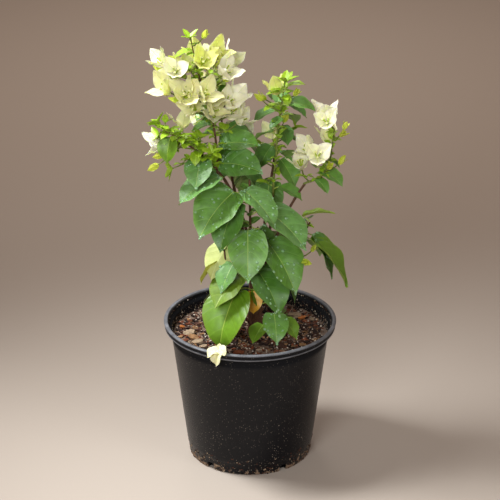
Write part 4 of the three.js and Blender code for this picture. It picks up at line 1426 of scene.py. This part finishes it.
def add_drop(skin, centre, normal, size):
    """A drop of water: a low dome on the leaf."""
    across = unit(np.cross(normal, (0.3, 0.9, 0.2)))
    up = np.cross(normal, across)
    turns = np.arange(DROP_SIDES) * math.tau / DROP_SIDES
    wheel = np.outer(np.cos(turns), across) + np.outer(np.sin(turns), up)
    rings = [centre + (wheel * r + normal * h) * size for r, h in DROP_RINGS]
    last = 2 * DROP_SIDES
    faces = ring_faces(3, DROP_SIDES) + [tuple(range(DROP_SIDES))[::-1]]
    faces += fan(3 * DROP_SIDES, last, DROP_SIDES)
    skin.add(np.vstack([*rings, centre + normal * DROP_TOP * size]), faces, "rain_water")


def add_dew(growth, spot, blade, draw, count):
    """Drops of mixed sizes, scattered over a blade's upper face."""
    upper = [face for face, kind in zip(blade["faces"], blade["kinds"]) if kind == "blade"]
    for _ in range(count):
        corners = spot[list(upper[int(draw() * len(upper))])]
        a, b = draw(), draw()
        centre = mix(mix(corners[0], corners[1], a), mix(corners[3], corners[2], a), b)
        normal = unit(np.cross(corners[1] - corners[0], corners[3] - corners[0]))
        add_drop(growth.dew, centre - normal * 0.03, normal, mix(0.7, 2.4, draw() ** 2))


PETIOLE_SIDES = 6


def add_petiole(skin, root, knee, base):
    """A stalk that leaves its stem, bends and runs into the blade's foot."""
    line = smooth(np.array([root, knee, base]), 4)
    radii = np.linspace(PETIOLE["radius"] * 1.15, PETIOLE["radius"] * 0.8, len(line))
    add_tube(skin, line, radii, PETIOLE_SIDES, "petiole")


# Finish of each part of a blade.
LEAF_PARTS = {"blade": "leaf", "vein": "vein", "midrib": "midrib", "under": "under"}
BRACT_PARTS = {"blade": "bract", "vein": "bract", "midrib": "rib", "under": "bract"}


def tinted(parts, tint):
    return {part: finish + "-" + tint for part, finish in parts.items()}


def add_leaf(growth, root, row, draw, dew=0, curl=0.0):
    """A leaf on its petiole, by the source's rule."""
    side, heading, pitch, length, roll, tint = row
    rise = PETIOLE["lift"] + pitch * PETIOLE["droop"]
    base = root + aim(side, rise) * PETIOLE["share"] * length
    grade = "large" if length > LEAF["large"] else "middling" if length > LEAF["middling"] else "small"
    blade = LEAF_BLADES[grade]
    twist = (draw() - 0.5) * 16
    arch = LEAF["arch"] + (draw() - 0.5) * 8
    line = arched_line(base, heading, pitch, roll, length, arch, twist, curl)
    thick = bpy.context.scene.bush_plant.leaf_thickness / MM * (1 if length > LEAF["middling"] else 0.7)
    size = (length, mix(0.94, 1.06, draw()), LEAF["fold"] + (draw() - 0.5) * 6, thick)
    spot = lay_blade(growth.leaves, blade, line, size, draw, tinted(LEAF_PARTS, tint))
    knee = root + aim(side, rise + 8) * PETIOLE["share"] * length * 0.55
    add_petiole(growth.leaves, root, knee, base + aim(heading, pitch) * 0.01 * length)
    if dew:
        add_dew(growth, spot, blade, draw, dew)


def carried(kind, draw):
    """Turn round the twig, lean off its line and length of each petal, drawn as the source draws them."""
    if kind == "bloom":
        first = draw() * 120
        return [
            (
                first + 120 * i + (draw() - 0.5) * BRACT["jitter"],
                BRACT["lean"] + (draw() - 0.5) * BRACT["jitter"],
                BRACT["length"] * (0.88 + 0.24 * draw()),
            )
            for i in range(3)
        ]
    if kind == "bud":
        return [(120 * i, BUD["lean"], BUD["length"] * (0.8 + 0.4 * draw())) for i in range(3)]
    return [
        (
            90 * i + (draw() - 0.5) * SPROUT["jitter"],
            SPROUT["lean"] + (draw() - 0.5) * SPROUT["jitter"],
            SPROUT["length"] * (0.7 + 0.6 * draw()),
        )
        for i in range(4)
    ]


WHORLS = {"bloom": (BRACT, BRACT_BLADE), "bud": (BUD, BUD_BLADE), "sprout": (SPROUT, SPROUT_BLADE)}


def add_whorl(growth, kind, tip, axis, across, petals, tint, fine):
    """Petals round a tip, with the small tubes of the true flowers inside a bloom."""
    shape, blade = WHORLS[kind]
    skin = growth.leaves if kind == "sprout" else growth.bracts
    thick = bpy.context.scene.bush_plant.bract_thickness / MM
    finishes = tinted(LEAF_PARTS if kind == "sprout" else BRACT_PARTS, tint)

    def around(turn):
        turn = math.radians(turn)
        return across * math.cos(turn) + np.cross(axis, across) * math.sin(turn)

    for turn, lean, length in petals:
        out, slope = around(turn), math.radians(lean)
        way = axis * math.cos(slope) + out * math.sin(slope)
        inward = axis * math.sin(slope) - out * math.cos(slope)
        cup = shape["cup"] * mix(0.7, 1.3, fine())
        line = petal_line(tip, way, inward, -around(turn + 90), length, cup)
        size = (length, mix(0.95, 1.1, fine()), shape["fold"] + 8 * fine(), thick)
        lay_blade(skin, blade, line, size, fine, finishes, 1.5 if kind == "bloom" else 0.7)
        if kind == "bloom":
            add_flower(growth.bracts, tip, unit(axis + out * 0.28), length * mix(0.42, 0.56, fine()))


FLOWER_LOBES = 5


def add_flower(skin, foot, way, length):
    """The true flower: a slim green tube, swollen at its foot and flared into a small star."""
    shares = np.array([0, 0.12, 0.3, 0.6, 0.85, 1])
    radii = [0.7, 1.25, 1.05, 0.8, 0.95, 1.3]
    line = foot + np.outer(shares * length, way)
    add_tube(skin, line, radii, 6, "rib-lime")
    across = unit(np.cross(way, (0.2, 0.5, 0.8)))
    up = np.cross(way, across)
    mouth = foot + way * length
    points = [mouth + way * 0.5]
    for k in range(2 * FLOWER_LOBES):
        turn = math.pi * k / FLOWER_LOBES
        radius, lift = (2.5, 0.9) if k % 2 == 0 else (1.1, 0.1)
        points.append(mouth + (across * math.cos(turn) + up * math.sin(turn)) * radius + way * lift)
    rim = 2 * FLOWER_LOBES
    points.append(mouth - way * 0.3)
    skin.add(np.array(points), fan(0, 1, rim) + fan(rim + 1, 1, rim, flip=True), "bract-cream")


def add_spray(growth, kind, root, heading, rise, length, draw, tint, fine):
    """A twig and the whorl on its tip, by the source's rule. Returns its middle and tip."""
    petals = carried(kind, draw)
    rises = (rise - TWIG["bend"], rise + TWIG["bend"], rise + 2 * TWIG["bend"])
    middle = root + aim(heading, rises[0]) * length / 2
    tip = middle + aim(heading, rises[1]) * length / 2
    axis = aim(heading, rises[2])
    line = smooth(np.array([root, middle, tip]), 5)
    radii = np.linspace(TWIG["radius"], WHORLS[kind][0]["hub"] * 0.55, len(line))
    add_tube(growth.wood, line, radii, 7, "green_wood")
    add_whorl(growth, kind, tip, axis, aim(heading + 90, 0), petals, tint, fine)
    return middle, tip


def add_tuft(growth, root, heading, size, tint, fine):
    """Three or four tiny leaves in the joint of a stem or twig."""
    for i in range(3 + int(2 * fine())):
        length = size * mix(0.6, 1.2, fine())
        way = heading + (i - 1) * 62 + (fine() - 0.5) * 30
        row = (way, way + (fine() - 0.5) * 40, mix(-6, 46, fine()), length, 0, tint)
        add_leaf(growth, root, row, fine)


def ruled_leaves(rule, draw):
    """Leaves set along a stem, each turned by the golden angle from the last."""
    count, first, pitch, size, tints = rule
    rows = []
    for i in range(count):
        share = (i + 0.6) / count
        heading = first + GOLDEN_ANGLE * i + (draw() - 0.5) * 24
        slope = mix(*pitch, share) + (draw() - 0.5) * 16
        length = mix(*size, share) * (0.85 + 0.3 * draw())
        roll = (draw() - 0.5) * 20
        rows.append((share, heading, heading, slope, length, roll, tints[i % len(tints)]))
    return rows


def stem_of(mass):
    """Points of a mass's stem, from its bough's tip or the trunk's side."""
    steps = round(mass["length"] / STEM_STEP)
    if not isinstance(mass["foot"], str):
        return grow_limb(mass["foot"], mass["heading"], mass["rise"], mass["length"], steps)
    bough = grow_bough(next(b for b in BOUGHS if b[0] == mass["foot"]))
    way = unit(bough[-1] - bough[-2])
    kink = math.acos(np.clip(way.dot(aim(mass["heading"][0], mass["rise"][0])), -1, 1))
    start = bough[-1] + way * (CLEAR + mass["radius"][0] * math.sin(kink))
    return grow_limb(start, mass["heading"], mass["rise"], mass["length"], steps)


def node_tree_of(name):
    """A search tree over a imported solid."""
    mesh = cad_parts[name].data
    points = [vertex.co[:] for vertex in mesh.vertices]
    return BVHTree.FromPolygons(points, [tuple(p.vertices) for p in mesh.polygons])


class BUSH_OT_grow_mass(bpy.types.Operator):
    """Grows one mass of leaves and blossom on from its limb"""

    bl_idname = "bush.grow_mass"
    bl_label = "Grow mass"

    mass: StringProperty(name="Mass", description="Name of the mass to grow", default="leaves_front")

    def execute(self, context):
        mass = MASSES[self.mass]
        order = list(MASSES).index(self.mass)
        seed = FIRST_SEED + order
        others = ["pot", "soil", "trunk", *(b[0] for b in BOUGHS), *list(MASSES)[:order]]
        growth = Growth([node_tree_of(name) for name in others])
        stem = stem_of(mass)
        self.grow_stem(growth, mass, stem, seed)
        self.grow_leaves(growth, mass, stem, seed)
        self.grow_twigs(growth, mass, stem, seed)
        self.grow_tufts(growth, mass, stem, seed)
        make_piece(growth.wood, self.mass + "_twigs", [self.mass])
        make_piece(growth.leaves, self.mass + "_leaves", [self.mass])
        if growth.bracts.count:
            make_piece(growth.bracts, self.mass + "_bracts", [self.mass])
        if growth.dew.count:
            make_piece(growth.dew, self.mass + "_drops", [self.mass], sharp=80)
        return {"FINISHED"}

    def grow_stem(self, growth, mass, stem, seed):
        foot = stem[0] - unit(stem[1] - stem[0]) * 3
        line = smooth(np.vstack([foot, stem]), 5)
        radii = [along(mass["radius"], s) for s in np.linspace(0, 1, len(line))]
        finish = "green_wood" if self.mass in GREEN_STEMS else "brown_bark"
        add_bark(growth.wood, line, radii, finish, seed)

    def grow_leaves(self, growth, mass, stem, seed):
        drops = bpy.context.scene.bush_plant.drops
        curls = mass.get("curls", {})
        for i, (share, *row) in enumerate(mass["leaves"] + mass.get("more", [])):
            fine = seeded(seed * 1000 + i)
            wet = row[3] > WET["longer"] and row[5] in WET["tints"]
            dew = int(drops * row[3] / WET["full"]) if wet else 0
            add_leaf(growth, point_on(stem, share), row, fine, dew, curls.get(i, 0))
        ruled = ruled_leaves(mass["rule"], seeded(seed)) if "rule" in mass else []
        for i, (share, *row) in enumerate(ruled):
            root = point_on(stem, share)
            reach = root + np.outer([0.5, 0.8, 1.1], aim(row[1], row[2] - 8)) * row[3]
            if growth.is_free(reach):
                add_leaf(growth, root, row, seeded(seed * 1000 + 500 + i))

    def grow_tufts(self, growth, mass, stem, seed):
        first, last, count, size, tint = mass.get("tufts", (0, 1, 0, 0, ""))
        for i in range(count):
            fine = seeded(seed * 5000 + i)
            root = point_on(stem, mix(first, last, (i + 0.5) / count))
            heading = GOLDEN_ANGLE * i + seed * 40
            if growth.is_free([root + aim(heading, 30) * size * 1.2]):
                add_tuft(growth, root, heading, size * mix(0.8, 1.2, fine()), tint, fine)

    def grow_twigs(self, growth, mass, stem, seed):
        for i, (share, heading, rise, length, kind, count, tint) in enumerate(mass["twigs"]):
            draw = seeded(seed * 100 + i)
            fine = seeded(seed * 3000 + i)
            root = point_on(stem, share)
            middle, tip = add_spray(growth, kind, root, heading, rise, length, draw, tint, fine)
            for k in range(1, count):
                start = mix(middle, tip, SIDE_TWIG["share"] * k)
                turn = heading + (SIDE_TWIG["turn"] if k % 2 else -SIDE_TWIG["turn"])
                side = (start, turn, SIDE_TWIG["rise"], SIDE_TWIG["length"])
                add_spray(growth, kind, *side, draw, tint, fine)
            if length > 20:
                add_tuft(growth, mix(root, middle, 0.8), heading, 11, "young", fine)
            if kind == "sprout" and length > 12:
                add_tuft(growth, mix(middle, tip, 0.4), heading + 60, 14, "young", fine)


FALLEN_FOOT = (-41.5, -103.5, 200.5)
# Bracts dropped over the front of the rim: heading, pitch, arch from foot to tip, roll and length of each.
FALLEN = [
    (-104, -30, 84, 10, 25),
    (-150, -6, 66, -24, 20),
    (-60, 20, 96, 16, 19),
    (76, 34, -30, 0, 9),
]


class BUSH_OT_make_fallen_bracts(bpy.types.Operator):
    """Makes the bracts that have dropped over the rim"""

    bl_idname = "bush.make_fallen_bracts"
    bl_label = "Make fallen bracts"

    def execute(self, context):
        draw = seeded(FALLEN_SEED)
        skin = Skin()
        thick = context.scene.bush_plant.bract_thickness / MM
        for heading, pitch, arch, roll, length in FALLEN:
            line = arched_line(np.array(FALLEN_FOOT), heading, pitch, roll, length, arch, 30)
            finishes = tinted(BRACT_PARTS, "cream")
            lay_blade(skin, BRACT_BLADE, line, (length, 1.15, 12, thick), draw, finishes, 3)
        make_piece(skin, "fallen_bracts")
        return {"FINISHED"}


# ---------------------------------------------------------------- stage


DAYLIGHT = "#f8fdff"
# Name, place, target, size, setting of its power, colour, and the angle that the light spreads over.
LIGHTS = [
    ("key_window", (-0.8, 0.05, 1.56), (-0.04, -0.3, 0.12), 0.45, "key", DAYLIGHT, 60),
    ("front_fill", (-0.6, -2.1, 1.35), (-0.03, -0.25, 0.3), 0.9, "fill", DAYLIGHT, 70),
    ("back_softbox", (-0.25, 1.5, 1.7), (0, 0, 0.3), 0.5, "back", "#ffffff", 70),
    ("far_softbox", (0, 1.6, 1.4), (0, 1.6, 0), 1.5, "far", "#fff4ea", 110),
    ("right_fill", (1.2, -1.0, 1.2), (0, 0, 0.36), 0.7, "side", DAYLIGHT, 60),
]
FLOOR_REACH = 12
TARGET_HEIGHT = 0.1
SENSOR_WIDTH = 36


class BUSH_OT_make_stage(bpy.types.Operator):
    """Makes the floor, the soft lights and the camera"""

    bl_idname = "bush.make_stage"
    bl_label = "Make stage"

    def execute(self, context):
        stage = context.scene.bush_stage
        self.make_floor()
        for name, place, target, size, power, colour, spread in LIGHTS:
            lamp = bpy.data.lights.new(name, "AREA")
            lamp.size = size
            lamp.spread = math.radians(spread)
            lamp.energy = getattr(stage, power)
            lamp.color = linear(colour)[:3]
            light = add_object(name, lamp)
            light.location = place
            light.rotation_euler = (Vector(target) - Vector(place)).to_track_quat("-Z", "Y").to_euler()
        world = bpy.data.worlds.new("even_light")
        world.use_nodes = True
        sky = world.node_tree.nodes["Background"]
        sky.inputs["Color"].default_value = list(stage.ambient)
        sky.inputs["Strength"].default_value = stage.sky
        context.scene.world = world
        context.scene.view_settings.view_transform = "Standard"
        self.make_camera(context, stage)
        return {"FINISHED"}

    def make_floor(self):
        """Seamless studio paper: matt, pale and warm, with a faint tooth."""
        mesh = bpy.data.meshes.new("studio_floor")
        corners = [(x * FLOOR_REACH, y * FLOOR_REACH, 0) for x, y in ((-1, -1), (1, -1), (1, 1), (-1, 1))]
        mesh.from_pydata(corners, [], [(0, 1, 2, 3)])
        add_object("studio_floor", mesh)
        paper, tree, shader, place = start_finish("studio_paper")
        colour = list(bpy.context.scene.bush_stage.paper)
        tooth = lay_over(tree, shade(colour, 0.985), (speckle(tree, place, 3, 0.3, 0.7), colour))
        set_inputs(tree, shader, {"Base Color": tooth, "Roughness": 0.9, "Specular IOR Level": 0.1})
        mesh.materials.append(paper)

    def make_camera(self, context, stage):
        lens = bpy.data.cameras.new("camera")
        lens.lens = stage.lens
        lens.sensor_width = SENSOR_WIDTH
        camera = add_object("camera", lens)
        out = math.cos(stage.elevation) * stage.distance
        camera.location = (0, -out, TARGET_HEIGHT + math.sin(stage.elevation) * stage.distance)
        camera.rotation_euler = (math.pi / 2 - stage.elevation + stage.tilt, 0, 0)
        context.scene.camera = camera


# ---------------------------------------------------------------- panel and run


class BUSH_PT_bougainvillea(bpy.types.Panel):
    """Lists the pieces and their settings"""

    bl_label = "Bougainvillea"
    bl_idname = "BUSH_PT_bougainvillea"
    bl_space_type = "VIEW_3D"
    bl_region_type = "UI"
    bl_category = "Bougainvillea"

    def draw(self, context):
        layout = self.layout
        for operator, settings in (
            (BUSH_OT_make_pot, context.scene.bush_pot),
            (BUSH_OT_make_soil, context.scene.bush_soil),
            (BUSH_OT_make_limbs, context.scene.bush_plant),
            (BUSH_OT_make_fallen_bracts, context.scene.bush_plant),
            (BUSH_OT_make_stage, context.scene.bush_stage),
        ):
            box = layout.box()
            for name in settings.bl_rna.properties.keys():
                if name not in ("rna_type", "name"):
                    box.prop(settings, name)
            box.operator(operator.bl_idname)
        for name in MASSES:
            layout.operator(BUSH_OT_grow_mass.bl_idname, text=name).mass = name


SETTINGS = {
    "bush_pot": PotSettings,
    "bush_soil": SoilSettings,
    "bush_plant": PlantSettings,
    "bush_stage": StageSettings,
}
CLASSES = (
    *SETTINGS.values(),
    BUSH_OT_make_pot,
    BUSH_OT_make_soil,
    BUSH_OT_make_limbs,
    BUSH_OT_grow_mass,
    BUSH_OT_make_fallen_bracts,
    BUSH_OT_make_stage,
    BUSH_PT_bougainvillea,
)


def register():
    for cls in CLASSES:
        bpy.utils.register_class(cls)
    for name, cls in SETTINGS.items():
        setattr(bpy.types.Scene, name, PointerProperty(type=cls))


def unregister():
    for name in SETTINGS:
        delattr(bpy.types.Scene, name)
    for cls in reversed(CLASSES):
        bpy.utils.unregister_class(cls)


def main():
    register()
    bpy.ops.bush.make_pot()
    bpy.ops.bush.make_soil()
    bpy.ops.bush.make_limbs()
    for name in MASSES:
        bpy.ops.bush.grow_mass(mass=name)
    bpy.ops.bush.make_fallen_bracts()
    bpy.ops.bush.make_stage()


if __name__ == "__main__":
    main()
